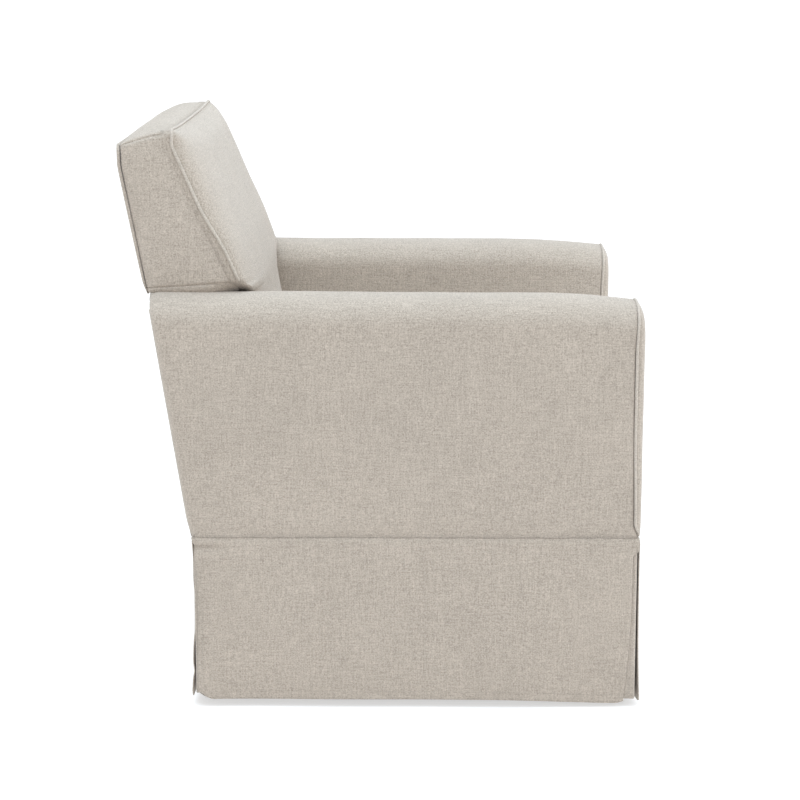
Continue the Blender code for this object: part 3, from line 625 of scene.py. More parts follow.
def arm_surface(side):
    """The arm cover's outside, with its fullness, soft waves, tucked bottom and small pulls."""
    grid = []
    for share, inset, back in arm_rows():
        row = []
        for x, drop in arm_profile(inset, REAR_EDGE_DIP if share > 0.5 else FRONT_EDGE_DIP):
            level = ARM_TOP + drop
            front = welt_y(level) + COVER_BEHIND_WELT
            y = front + share * (rear_skin_y(level) - front) - back
            crest = arm_top_z(y)
            scale = (crest - PANEL_BOTTOM_Z) / (ARM_TOP - PANEL_BOTTOM_Z)
            z = PANEL_BOTTOM_Z + (level - PANEL_BOTTOM_Z) * scale
            if x > ARM_MIDDLE_X:
                z -= ARM_BOTTOM_DROP * (1 - ease(z, PANEL_BOTTOM_Z, PANEL_BOTTOM_Z + 0.015))
            elif z < INNER_BOTTOM_Z:
                z = INNER_BOTTOM_Z
            row.append((x, y, z))
        grid.append(row)
    p = np.array(grid)
    x, y, z = p[..., 0], p[..., 1], p[..., 2]
    outer = ease(x, HALF_WIDTH - 0.012, HALF_WIDTH - 0.002)
    inner = ease(-x, -ARM_INNER - 0.012, -ARM_INNER - 0.002)
    height = (z - PANEL_BOTTOM_Z) / (ARM_TOP - PANEL_BOTTOM_Z)
    fullness = np.clip(4 * height * (1 - height), 0, 1)
    wave = ripple(p, 0.075, 1.0 + side)
    fine = ripple(p, 0.022, 3.0 + side)
    tuck = 1 - ease(z, PANEL_BOTTOM_Z, PANEL_BOTTOM_Z + PANEL_TUCK_ZONE)
    x += outer * (ARM_OUTER_FULLNESS * fullness + 0.0006 * wave + 0.0002 * fine - PANEL_TUCK * tuck ** 1.6)
    x -= inner * (ARM_INNER_FULLNESS * fullness + 0.0007 * wave)
    z += (1 - outer) * (1 - inner) * (0.0007 * wave + 0.0003 * fine)
    lip = bell(y, rear_skin_y(z) - 0.017, 0.010) * bell(z, ARM_TOP - 0.008, 0.0028)
    z -= ARM_CORNER_LIP * lip * (x > ARM_MIDDLE_X)
    pulls = bell(height, 0.03, 0.05) * np.sin(y * 95.0 + 1.3 * side) * np.sin(y * 31.0)
    x += outer * ARM_PULLS * pulls
    p[..., 0] *= side
    return p


def orient(made, direction):
    """Turns the faces over if those furthest along a direction face the wrong way."""
    way = Vector(direction)
    far = max(made.data.polygons, key=lambda f: f.center.dot(way))
    if far.normal.dot(way) < 0:
        made.data.flip_normals()


def arm_upholstery():
    """The padded cloth over each arm: up from the seat, over the top and down the outside."""
    for word, side in SIDES:
        made = grid_piece(f"{word}_arm_upholstery", arm_surface(side))
        orient(made, (side, 0.0, 0.0))
        thicken(made, "seat", ARM_SHELL, -1.0)
        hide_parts(f"{word}_arm_cover")


def facing_outline(side, inset=0.0006):
    """Outline of the arm's front end (x, z), closed along the bottom and tucked in there."""
    crest = arm_top_z(ARM_FRONT_Y)
    bottom = PANEL_BOTTOM_Z + inset
    points = [(x, crest + z) for x, z in arm_profile(inset) if crest + z > bottom + 0.004]
    points = [(ARM_INNER + inset, bottom), *points, (HALF_WIDTH - inset, bottom)]
    return tucked([(side * x, z) for x, z in spaced(points, 150, closed=True)], side)


def tucked(points, side):
    """Pulls the outer side in towards the bottom seam, as the arm cover does."""
    p = np.array(points, float)
    outer = ease(side * p[:, 0], HALF_WIDTH - 0.030, HALF_WIDTH - 0.002)
    tuck = 1 - ease(p[:, 1], PANEL_BOTTOM_Z, PANEL_BOTTOM_Z + PANEL_TUCK_ZONE)
    p[:, 0] -= side * outer * PANEL_TUCK * tuck ** 1.6
    return p


def arm_facings():
    """Crowned pads on the arms' front ends: rings from the rear edge round to the middle of the face."""
    low_z = PANEL_BOTTOM_Z + 0.038
    high_z = arm_top_z(ARM_FRONT_Y) - 0.07
    rings = [
        (0.975, 0.00), (0.987, 0.10), (0.991, 0.24), (0.988, 0.42), (0.978, 0.60), (0.960, 0.77),
        (0.932, 0.91), (0.892, 1.01),
    ]
    rings += [(s, 1.02 + 0.24 * (1 - s ** 2)) for s in (0.84, 0.74, 0.6, 0.45, 0.3, 0.15, 0.04)]
    for word, side in SIDES:
        outline = facing_outline(side)
        spine = np.array([(side * ARM_MIDDLE_X, min(max(z, low_z), high_z)) for _, z in outline])
        verts = []
        for scale, forward in rings:
            for x, z in spine + (outline - spine) * scale:
                rear = welt_y(z) + 0.0010
                verts.append((x, rear + (facing_y(z) + 0.0012 - rear) * forward, z))
        p = np.array(verts)
        p[:, 1] += 0.0005 * ripple(p, 0.05, side)
        faces = capped_rings(len(rings), len(outline))
        made = piece(f"{word}_arm_facing_pad", p, faces)
        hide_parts(f"{word}_arm_facing")
        facing_welt(word, side)


def facing_welt(word, side):
    """Cord round the facing's edge, hooking forward at both bottom ends."""
    keep = [(x, z) for x, z in facing_outline(side) if z > PANEL_BOTTOM_Z + 0.007]
    gaps = [abs(b[0] - a[0]) + abs(b[1] - a[1]) for a, b in zip(keep, keep[1:] + keep[:1])]
    start = int(np.argmax(gaps))
    keep = keep[start + 1:] + keep[:start + 1]
    path = [(x, welt_y(z) - 0.0009, z) for x, z in keep]
    for end in (0, -1):
        x, y, z = path[end]
        hook = [(x, y - 0.0012, z - 0.0022), (x, y - 0.0028, z - 0.0036)]
        path = hook[::-1] + path if end == 0 else path + hook
    welt(f"{word}_facing_welt", path, "seat", radius=FACING_WELT_RADIUS)


# ---- upper back

BACK_RISE = FRONT_HIGH.y - FRONT_LOW.y
PAD_BEND = support("back_front_pad", (0, -1, 0.3)).yz
PAD_BOTTOM_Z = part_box("back_front_pad")[0].z


def front_line_y(z):
    """The seam line at the front of the boxing."""
    return FRONT_LOW.x + (z - FRONT_LOW.y) * (FRONT_HIGH.x - FRONT_LOW.x) / BACK_RISE


def front_seam_y(z):
    """The boxing's front seam, drawn back a little from that line over its upper half."""
    drawn = ease(z, FRONT_LOW.y + 0.045, FRONT_LOW.y + 0.130)
    drawn *= 1 - ease(z, FRONT_HIGH.y - 0.026, FRONT_HIGH.y - 0.002)
    return front_line_y(z) + SEAM_BOW * drawn


def seam_y(z):
    """Seam line of the front pad: along the boxing, then straight down between the arms."""
    lower = PAD_BEND.x - (PAD_BEND.y - z) * PAD_LOWER_SLOPE + PAD_LOWER_DEPTH
    turn = ease(-z, -T_SHOULDER_Z, -T_SHOULDER_Z + 0.012) * ease(z, T_WAIST_Z - 0.030, T_WAIST_Z)
    above = ease(z, T_SHOULDER_Z - 0.006, T_SHOULDER_Z)
    return above * front_seam_y(z) + (1 - above) * (lower - WING_TURN * turn)


def pad_face_y(z):
    """The pad's full front: steep between the arms, leaning back with the boxing above them."""
    upper = front_line_y(z) - BACK_CROWN
    bend_y = front_line_y(PAD_BEND.y) - BACK_CROWN
    lower = bend_y - (PAD_BEND.y - z) * PAD_LOWER_SLOPE
    softness = 0.006
    belly = PAD_BELLY * bell(z, ARM_TOP + 0.004, 0.030)
    return (upper + lower + np.sqrt((upper - lower) ** 2 + softness ** 2)) / 2 - belly


def top_lift(x, w):
    """Height of the boxing's top over its straight edges: front seam sags, the middle is puffed."""
    u = np.abs(x) / BACK_HALF
    sag = -TOP_SAG * (1 - u ** 3) * (1 - w) ** 3
    arch = TOP_REAR_ARCH * (1 - u ** 2) * w
    bulge = TOP_BULGE * np.sin(np.pi * np.clip(w, 0, 1)) ** 0.8 * (1 - u ** 5)
    return sag + arch + bulge


def top_seam_lift(x, z):
    """The same at the front seam, fading out below the top."""
    return top_lift(x, 0.0) * ease(z, FRONT_HIGH.y - 0.05, FRONT_HIGH.y)


def boxing_outline():
    """The box's outline (x, t, on the top seam), from the left underside over the top to the right."""
    flat = BACK_HALF - BACK_CORNER
    corner_t = BACK_CORNER / BACK_RISE
    points = [(x, BACK_UNDER_T, 0.0) for x in np.linspace(ARM_INNER + 0.010, flat, 12)[:-1]]
    for a in np.linspace(-pi / 2, 0.0, 7):
        points.append((flat + BACK_CORNER * cos(a), BACK_UNDER_T + corner_t * (1 + sin(a)), 0.0))
    for away in (-0.0024, -0.0013, -0.0006, 0.0, 0.0006, 0.0013, 0.0025):
        points.append((BACK_HALF, LOW_SEAM_ROW + away / BACK_RISE, 0.0))
    for t in np.linspace(LOW_SEAM_ROW + 0.020, 1.0 - corner_t, 54)[:-1]:
        points.append((BACK_HALF, t, 0.0))
    for a in np.linspace(0.0, pi / 2, 17):
        seam = bell(a, pi / 4, 0.13)
        points.append((flat + BACK_CORNER * cos(a), 1.0 - corner_t + corner_t * sin(a), seam))
    points += [(x, 1.0, 0.0) for x in np.linspace(flat, 0.0, 34)[1:]]
    return points + [(-x, t, seam) for x, t, seam in reversed(points[:-1])]


def outline_normals(ring):
    """Outward directions along the boxing's outline."""
    tangent = np.gradient(ring, axis=0)
    normal = np.stack([tangent[:, 1], -tangent[:, 0]], axis=1)
    normal /= np.linalg.norm(normal, axis=1)[:, None]
    outward = ring - np.array([0.0, BACK_RISE / 2])
    return normal * np.sign((normal * outward).sum(1))[:, None]


def low_seam_shift(t, w):
    """Moves the mesh rows near the low seam so that one of them follows it, sloping down to the rear."""
    goal = LOW_SEAM_FRONT * (1 - w) + LOW_SEAM_REAR * w - LOW_SEAM_ROW
    below = (t - BACK_UNDER_T) / (LOW_SEAM_ROW - BACK_UNDER_T)
    above = 1 - (t - LOW_SEAM_ROW) / 0.15
    return goal * min(max(min(below, above), 0.0), 1.0)


def boxing_point(x, t, w):
    """A point of the boxing, w from the front seam (0) to the rear seam (1)."""
    front = FRONT_LOW.lerp(FRONT_HIGH, t)
    rear = REAR_LOW.lerp(REAR_HIGH, t)
    bow = REAR_EDGE_BOW * (1 - ease(t, 0.82, 1.0))
    y = front.x + (rear.x + bow - BACK_REAR_PAD - front.x) * w
    z = front.y + (rear.y - front.y) * w
    y += (front_seam_y(front.y) - front_line_y(front.y)) * (1 - w) ** 2
    return y, z + top_lift(x, w) * ease(t, 0.90, 1.0)


def under_wing(x, y, z, w):
    """Below the wings of the T the boxing's front edge turns in and forward with the pad's seam."""
    if z > T_SHOULDER_Z or abs(x) < ARM_INNER:
        return x, y
    near = 1 - ease(w, 0.0, 0.4)
    narrowed = (t_width(z) - ARM_INNER) / (BACK_HALF - ARM_INNER)
    turned_in = copysign(ARM_INNER + (abs(x) - ARM_INNER) * narrowed, x)
    return x + (turned_in - x) * near, y + (seam_y(z) - front_line_y(z)) * near


def boxing_puff(x, t, w, seam):
    """How far the boxing stands out: full in the middle, drawn in at its seams and welts."""
    depth = w * BOXING_DEPTH
    side_part = 1 - ease(t, 0.88, 0.97)
    dip = BOXING_DIP * exp(-depth / BOXING_DIP_LENGTH)
    dip += BOXING_CREVICE * exp(-depth / BOXING_CREVICE_LENGTH)
    puff = BOXING_PUFF * sin(pi * w) ** 0.7 * (0.5 + 0.5 * side_part)
    puff -= dip * (0.25 + 0.75 * side_part)
    puff -= REAR_DIP * exp(-(BOXING_DEPTH - depth) / REAR_DIP_LENGTH) + TOP_SEAM_DEPTH * seam
    if abs(x) > BACK_HALF - 0.001:
        away = (t - LOW_SEAM_ROW) * BACK_RISE
        puff -= LOW_SEAM_DEPTH * exp(-(away / 0.0010) ** 2) * (1 - 0.4 * w)
    return puff


def back_boxing():
    """Side and top boxing with its seams, dipping in at the welts."""
    outline = boxing_outline()
    shares = [0.0, 0.006, 0.015, 0.028, 0.043, 0.060, 0.080, 0.105, 0.135, *np.linspace(0.18, 0.86, 16)]
    shares += [0.90, 0.93, 0.955, 0.975, 0.99, 1.0]
    normals = outline_normals(np.array([(x, t * BACK_RISE) for x, t, _ in outline]))
    grid = []
    for w in shares:
        row = []
        for (x, t, seam), (nx, nz) in zip(outline, normals):
            y, z = boxing_point(x, t + low_seam_shift(t, w), w)
            puff = boxing_puff(x, t, w, seam)
            x, y = under_wing(x, y, z, w)
            row.append((x + nx * puff, y, z + nz * puff))
        grid.append(row)
    p = np.array(grid)
    wave = ripple(p, 0.05, 5.0)
    p[..., 0] += 0.0007 * wave * np.sign(p[..., 0]) * (np.abs(p[..., 0]) > BACK_HALF - 0.005)
    p[..., 2] += 0.0008 * wave * (p[..., 2] > REAR_HIGH.y)
    made = grid_piece("back_boxing", p)
    orient(made, (0.0, 0.0, 1.0))
    thicken(made, "seat", 0.004, -1.0, even=False)
    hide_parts("back_box")
    return outline


def back_rear_panel(outline):
    """Padded outside panel of the upper back, with a soft rolled edge."""
    lean = (REAR_HIGH - REAR_LOW).normalized()
    away = Vector((lean.y, -lean.x))
    count = 180
    ring = spaced([(x, t * BACK_RISE) for x, t, _ in outline], count, closed=True)
    middle = np.array([0.0, BACK_RISE / 2])
    edge = ring - middle
    length = np.linalg.norm(edge, axis=1)[:, None]
    rings = [(0.0075, 0.07), (0.0030, 0.12), (0.0006, 0.29), (0.0000, 0.52), (0.0014, 0.76)]
    rings += [(0.0048, 0.93), (0.0100, 1.0)]
    rings = [(1 - inset / length, out) for inset, out in rings]
    for s in (0.90, 0.82, 0.72, 0.60, 0.46, 0.32, 0.18, 0.04):
        rings.append((np.full_like(length, s), 2.0 - s ** 3))
    verts = []
    for scale, out in rings:
        for x, s in middle + edge * scale:
            t = s / BACK_RISE
            y, z = boxing_point(x, t, 1.0)
            height = min(max(t, 0.0), 1.0)
            bow = sin(pi * height)
            band = REAR_BAND_LOW + (REAR_BAND_HIGH - REAR_BAND_LOW) * height + 0.0015 * bow
            band *= 0.3 + 0.7 * ease(t, BACK_UNDER_T, 0.055)
            reach = min(out, 1.0) * band + max(out - 1.0, 0.0) * REAR_CROWN * bow ** 0.5
            verts.append((x, y + away.x * reach, z + away.y * reach))
    p = np.array(verts)
    p[:, 1] += 0.0006 * ripple(p, 0.06, 9.0)
    made = piece("back_rear_pad", p, capped_rings(len(rings), count))


def t_width(z):
    """Half width of the T-shaped front pad: wide above the arms, narrow between them."""
    narrow = ARM_INNER - 0.0022
    wing = np.clip((z - T_WAIST_Z) / (T_SHOULDER_Z - T_WAIST_Z), 0.0, 1.0)
    return narrow + (BACK_HALF - 0.0005 - narrow) * wing ** 0.45


def pad_rows():
    """Heights of the front pad's mesh rows, closer together at the shoulders and the top."""
    lower = np.linspace(PAD_BOTTOM_Z + 0.004, T_WAIST_Z - 0.002, 46)
    shoulder = np.linspace(T_WAIST_Z, T_SHOULDER_Z, 20)
    upper = np.linspace(T_SHOULDER_Z + 0.005, FRONT_HIGH.y - 0.030, 36)
    top = FRONT_HIGH.y - 0.026 * np.linspace(1.0, 0.0, 16) ** 1.4
    return np.concatenate([lower, shoulder, upper, top])


def front_pad_layers():
    """The pad's crowned front and flat rear, as two grids of points."""
    heights = pad_rows()
    even = np.linspace(-1.0, 1.0, 87)
    across = np.sin(even * pi / 2) * 0.55 + even * 0.45
    z = heights[:, None] * np.ones_like(across)
    width = np.array([t_width(h) for h in heights])[:, None]
    into_corner = np.maximum(CORNER_ROUND - (FRONT_HIGH.y - z), 0.0)
    round_off = CORNER_ROUND - np.sqrt(np.maximum(CORNER_ROUND ** 2 - into_corner ** 2, 0.0))
    x = (width - round_off) * across
    square = (1 - np.abs(across) ** 6) ** 0.42
    side = 0.80 * square + 0.20 * (1 - across ** 2)
    top = np.clip((FRONT_HIGH.y - z) / TOP_ROLL, 0.0, 1.0)
    roll = (1 - (1 - top) ** 2.5) ** 0.55
    seam = seam_y(z)
    y = seam + (pad_face_y(z) - 0.0015 - seam) * side * roll - 0.0008
    lift = top_seam_lift(x, z)
    front = np.stack([x, y, z + lift], axis=2)
    wrinkles = 0.0011 * ripple(front, 0.085, 2.5) + 0.0003 * ripple(front, 0.028, 6.0)
    front[3:-3, 3:-3, 1] -= wrinkles[3:-3, 3:-3]
    return front, np.stack([x, seam + 0.016, z + lift], axis=2)


def joined_layers(front, rear):
    """One closed shell from a front grid and a rear grid with the same rows and columns."""
    rows, columns = front.shape[:2]
    size = rows * columns
    faces = grid_faces(rows, columns)
    faces += [tuple(reversed(f)) for f in grid_faces(rows, columns, start=size)]
    rim = list(range(columns))
    rim += [i * columns + columns - 1 for i in range(1, rows)]
    rim += [(rows - 1) * columns + j for j in range(columns - 2, -1, -1)]
    rim += [i * columns for i in range(rows - 2, 0, -1)]
    faces += [(a, a + size, b + size, b) for a, b in zip(rim, rim[1:] + rim[:1])]
    return np.concatenate([front.reshape(-1, 3), rear.reshape(-1, 3)]), faces


def back_front_cushion():
    """The T-shaped crowned pad of the inside back."""
    verts, faces = joined_layers(*front_pad_layers())
    made = piece("back_front_cushion", verts, faces)
    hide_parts("back_front_pad")
    front_pad_welt()


def front_pad_welt():
    """Cord along the boxing's front seam, turning in under the wings of the T."""
    edge = BACK_HALF + WELT_OUT
    half = []
    for inward, above in ((0.030, -0.0015), (0.015, -0.0010), (0.006, 0.0002), (0.001, 0.0020)):
        half.append((edge - inward, T_SHOULDER_Z + above))
    half += [(edge, z) for z in np.linspace(T_SHOULDER_Z + 0.005, FRONT_HIGH.y - CORNER_ROUND, 42)]
    for a in np.linspace(0.0, pi / 2, 9)[1:]:
        x = edge - CORNER_ROUND * (1 - cos(a))
        half.append((x, FRONT_HIGH.y - CORNER_ROUND * (1 - sin(a))))
    half += [(x, FRONT_HIGH.y) for x in np.linspace(BACK_HALF - CORNER_ROUND, 0.0, 30)[1:]]
    path = []
    for x, z in half:
        tucked_in = 0.25 * max(0.0, BACK_HALF - x) * (z < T_SHOULDER_Z + 0.001)
        y = front_seam_y(z) - 0.0006 + tucked_in
        path.append((x, y, z + top_seam_lift(x, z) + 0.0010))
    path += [(-x, y, z) for x, y, z in reversed(path[:-1])]
    welt("back_front_welt", path, "seat")


def outer_back():
    """Lower outside back, between the wrapped corners of the arms, with a welt down each side."""
    edge = HALF_WIDTH - REAR_WRAP + 0.001
    low, high = PANEL_BOTTOM_Z, OUTER_HIGH.z - 0.001
    share = np.linspace(-1.0, 1.0, 90)[None, :] * np.ones((60, 1))
    top = high + OUTER_BACK_RISE - OUTER_BACK_CORNER_DROP * ease(np.abs(share), BACK_HALF / edge, 1.0)
    z = low + (top - low) * np.linspace(0.0, 1.0, 60)[:, None]
    near = np.clip((1 - np.abs(share)) * edge / 0.02, 0, 1)
    vertical = np.clip(np.minimum(z - low, high + 0.03 - z) / 0.024, 0, 1)
    fullness = (1 - (1 - near) ** 2) * (1 - (1 - vertical) ** 2)
    front = np.stack([edge * share, rear_skin_y(z) - 0.0042 + 0.0040 * fullness, z], axis=2)
    rear = np.stack([edge * share, rear_y(z) - 0.011, z], axis=2)
    front[..., 1] += 0.0008 * ripple(front, 0.08, 7.0) + 0.0003 * ripple(front, 0.03, 4.0)
    verts, faces = joined_layers(front, rear)
    made = piece("outer_back_cloth", verts, faces)
    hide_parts("outer_back_panel")
    for word, side in SIDES:
        heights = np.linspace(low + 0.002, high - 0.012, 40)
        line = [(side * (edge + 0.0015), rear_skin_y(z) - 0.0012, z) for z in heights]
        welt(f"{word}_outer_back_welt", line, "seat", radius=0.0020)


# ---- cushion, deck and border


def move_points(made, places):
    for vert, place in zip(made.data.vertices, places):
        vert.co = place


def rounded_slab(low, high, radius, crown=(0.0, 0.0, 0.0), steps=(26, 26, 10)):
    """A closed box of grid faces with round edges and crowned faces, as points and faces."""
    low, high = Vector(low), Vector(high)
    size = high - low
    bm = bmesh.new()
    bmesh.ops.create_cube(bm, size=1.0)
    for axis, count in enumerate(steps):
        for i in range(1, count):
            normal = Vector((0.0, 0.0, 0.0))
            normal[axis] = 1.0
            geom = bm.verts[:] + bm.edges[:] + bm.faces[:]
            bmesh.ops.bisect_plane(bm, geom=geom, plane_co=normal * (i / count - 0.5), plane_no=normal)
    p = np.array([v.co for v in bm.verts]) * np.array(size)
    half = np.array(size) / 2
    core = np.clip(p, -(half - radius), half - radius)
    away = p - core
    length = np.linalg.norm(away, axis=1)[:, None]
    away = np.where(length > 1e-9, away / np.maximum(length, 1e-9), 0.0)
    on_face = (np.abs(np.abs(p) - half) < 1e-6).any(1)
    p = np.where(on_face[:, None] & (length > 1e-9), core + away * radius, p)
    unit = p / half
    for axis, amount in enumerate(crown):
        others = [k for k in range(3) if k != axis]
        full = np.prod([np.clip(1 - np.abs(unit[:, k]) ** 2.5, 0, 1) for k in others], axis=0)
        p[:, axis] += np.sign(p[:, axis]) * (np.abs(unit[:, axis]) > 0.6) * amount * full
    p += np.array((low + high) / 2)
    bm.verts.index_update()
    faces = [[v.index for v in f.verts] for f in bm.faces]
    bm.free()
    return p, faces


def cushion_lean(y, z):
    """Moves the cushion's rear edge back with height, along the leaning inside back."""
    share = (y - CUSHION_LOW.y) / (CUSHION_HIGH.y - CUSHION_LOW.y)
    return y + share ** 3 * (z - CUSHION_HIGH.z) * PAD_LOWER_SLOPE


def pressurise(made, pressure, cap, hold):
    """Swells a closed mesh with cloth simulation, each point moving at most cap times hold metres."""
    remesh = made.modifiers.new("grid", "REMESH")
    remesh.mode = "VOXEL"
    remesh.voxel_size = SIMULATION_GRID
    bake(made)
    rest = points_of(made.data)
    cloth = made.modifiers.new("cloth", "CLOTH")
    settings = cloth.settings
    settings.use_pressure = True
    settings.uniform_pressure_force = pressure
    settings.effector_weights.gravity = 0.0
    settings.quality = 5
    settings.tension_stiffness = 12.0
    settings.compression_stiffness = 12.0
    settings.bending_stiffness = 0.6
    cloth.point_cache.frame_start = 1
    cloth.point_cache.frame_end = SIMULATION_FRAMES
    for number in range(1, SIMULATION_FRAMES + 1):
        bpy.context.scene.frame_set(number)
    graph = bpy.context.evaluated_depsgraph_get()
    swollen = points_of(made.evaluated_get(graph).to_mesh())
    made.evaluated_get(graph).to_mesh_clear()
    made.modifiers.clear()
    bpy.context.scene.frame_set(1)
    move = swollen - rest
    length = np.linalg.norm(move, axis=1)[:, None]
    move *= np.minimum(1.0, cap / np.maximum(length, 1e-9))
    move_points(made, rest + move * hold(rest)[:, None])
    made.data.materials.clear()
    made.data.update()


def seat_cushion():
    """Loose box cushion: crowned top, soft corners, a welt round the top and the bottom edge."""
    low = CUSHION_LOW + Vector((CUSHION_INSET, CUSHION_INSET, 0.0006))
    high = CUSHION_HIGH - Vector((CUSHION_INSET, CUSHION_INSET + 0.004, 0.010))
    p, faces = rounded_slab(low, high, 0.011, (0.003, 0.004, 0.010))
    p[:, 2] = np.maximum(p[:, 2], low.z)
    p[:, 1] = [cushion_lean(y, z) for _, y, z in p]
    made = piece("seat_cushion_cover", p, faces, body=None)
    middle, half = (low + high) / 2, (high - low) / 2

    def hold(points):
        x, y, z = points.T
        edge = np.minimum(half.x - np.abs(x - middle.x), half.y - np.abs(y - middle.y))
        level = np.minimum(z - low.z, high.z - z)
        return 0.15 + 0.85 * ease(np.maximum(edge, level), 0.006, 0.035)

    pressurise(made, CUSHION_PRESSURE, CUSHION_SWELL, hold)
    made.data.materials.append(MAT["linen"])
    p = points_of(made.data)
    sag = 0.0012 * ripple(p, 0.07, 3.0) + 0.0005 * ripple(p, 0.025, 8.0)
    p[:, 2] += sag * (p[:, 2] > middle.z)
    p[:, 0] = np.clip(p[:, 0], CUSHION_LOW.x + CUSHION_SIDE_GAP, CUSHION_HIGH.x - CUSHION_SIDE_GAP)
    p[:, 2] = np.maximum(p[:, 2], CUSHION_LOW.z + CUSHION_UNDER_GAP)
    move_points(made, p)
    made.data.shade_smooth()
    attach(made, "cushion")
    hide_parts("seat_cushion")
    for word, level in (("top", high.z - 0.0035), ("bottom", low.z + 0.0045)):
        line = []
        for angle in np.linspace(0.0, tau, 161)[:-1]:
            c, s = cos(angle), sin(angle)
            x = middle.x + (half.x - CUSHION_WELT_INSET) * copysign(abs(c) ** CUSHION_SQUARENESS, c)
            y = middle.y + (half.y - CUSHION_WELT_INSET) * copysign(abs(s) ** CUSHION_SQUARENESS, s)
            line.append((x, cushion_lean(y, level), level))
        welt(f"cushion_{word}_welt", spaced(line, 260, closed=True), "cushion", closed=True)


def seat_deck():
    """Thin padded cloth over the springs, under the cushion."""
    p, faces = rounded_slab(*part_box("seat_deck"), 0.004, steps=(20, 26, 3))
    p[:, 2] -= 0.0010 * (1 + ripple(p, 0.06, 2.0))
    made = piece("seat_deck_cloth", p, faces, "deck", "seat")
    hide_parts("seat_deck")


def front_border():
    """Padded strip under the cushion's front, its lower ends turned out behind the arm facings."""
    low = BORDER_LOW + Vector((0.0, -0.001, -0.009))
    p, faces = rounded_slab(low, BORDER_HIGH, 0.004, (0.0, 0.002, 0.0), (40, 4, 12))
    p[:, 1] += 0.0006 * ripple(p, 0.05, 4.0)
    turned = (np.abs(p[:, 0]) > BORDER_HIGH.x - 0.003) & (p[:, 2] < INNER_BOTTOM_Z - 0.006)
    p[turned, 0] += np.sign(p[turned, 0]) * 0.0045
    p[turned, 1] = np.maximum(p[turned, 1], BORDER_LOW.y + 0.0030)
    made = piece("front_border_cloth", p, faces)
    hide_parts("front_border")
    places = np.linspace(BORDER_LOW.x + 0.002, BORDER_HIGH.x - 0.002, 60)
    line = [(x, BORDER_LOW.y - 0.0012, BORDER_HIGH.z - 0.0028) for x in places]
    welt("front_border_welt", line, "seat")


# ---- skirt


def hem_z(y):
    """The hem drops a few millimetres towards the front corners."""
    return SIDE_SKIRT_LOW.z + 0.0005 - 0.0062 * ease(-y, 0.16, 0.385)


def outer_x(low, high):
    """How far from the chair's middle a box reaches sideways."""
    return max(abs(low.x), abs(high.x))


def inner_x(low, high):
    """How near the chair's middle a box comes."""
    return min(abs(low.x), abs(high.x))


def corner_share(u, start):
    """0 until start, rising to 1 at the panel's end."""
    return max(0.0, (u - start) / (1.0 - start))


def drawn_in(v):
    """How far the skirt's top is drawn in at its seam, v down from it."""
    return -SKIRT_TOP_INSET * exp(-v / 0.008)


def skirt_sheet(word, place, wave, out, seams):
    """A hanging panel and its stitching: place(u, v) gives its points, wave(u, v) moves them outward.

    u runs across and v down; out is the panel's outward direction and seams picks the stitched rows.
    """
    top_rows = SKIRT_ROWS[4]
    steps = np.concatenate([np.linspace(0.0, top_rows, 9)[:-1], SKIRT_ROWS[4:]])
    across = np.linspace(0.0, 1.0, 170)
    out = np.array(out)
    p = np.array([[np.array(place(u, v)) + wave(u, v) * out for u in across] for v in steps])
    made = grid_piece(f"{word}_skirt_cloth", p)
    thicken(made, "seat", SKIRT_THICKNESS, even=False)
    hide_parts(f"{word}_skirt")
    rows = [p[seam] + (SKIRT_THICKNESS / 2 + 0.0001) * out for seam in (*seams, HEM_TURN)]
    return made, stitches(f"{word}_skirt_stitching", rows, "seat")


def side_skirts():
    """Skirt panels along both sides, split from the front panel below the top seam."""
    top = SIDE_SKIRT_HIGH.z + SKIRT_TOP_LIFT
    corner = FRONT_SKIRT_LOW.y + 0.0010
    rear_end = REAR_SKIRT_HIGH.y
    for word, side in SIDES:

        def place(u, v):
            front = SIDE_SKIRT_LOW.y + SLIT_RUN * v ** 2.6 + 0.0005 * sin(v * 9.0) * v
            front += (corner - front) * (1 - ease(v, SLIT_START - 0.030, SLIT_START))
            rear = rear_end - SKIRT_REAR_INSET - SKIRT_REAR_SWAY * sin(pi * v ** 0.9)
            rear += (rear_end - 0.0012 - rear) * (1 - ease(v, 0.0, 0.06))
            rear -= 0.0085 * corner_share(v, 0.965) ** 2
            y = front + (rear - front) * u
            bottom = hem_z(y) + SKIRT_HEM_ROUND * corner_share(u, 0.970) ** 2
            bottom += SKIRT_SLIT_ROUND * corner_share(1 - u, 0.985)
            return (side * (HALF_WIDTH - 0.0012), y, top + (bottom - top) * v)

        def wave(u, v):
            hang = 0.0014 * sin(u * 7.0 + side) + 0.0009 * sin(u * 15.0 + 2.0 + v * 2.0)
            curl = 0.0016 * ease(u, 0.94, 1.0) * v - 0.0012 * ease(-u, -0.05, 0.0) * v
            fall = 0.060 - 0.035 * max(0.0, u - 0.82)
            crease = SKIRT_CREASE * bell(v, fall, 0.016) * ease(u, 0.91, 0.975)
            fold = -0.0005 * bell(v, 0.955, 0.008)
            return hang * v ** 1.3 + curl + drawn_in(v) - crease + fold

        seams = (SLIT_SEAM, np.s_[8:-3, -3])
        made, thread = skirt_sheet(word, place, wave, (side, 0.0, 0.0), seams)


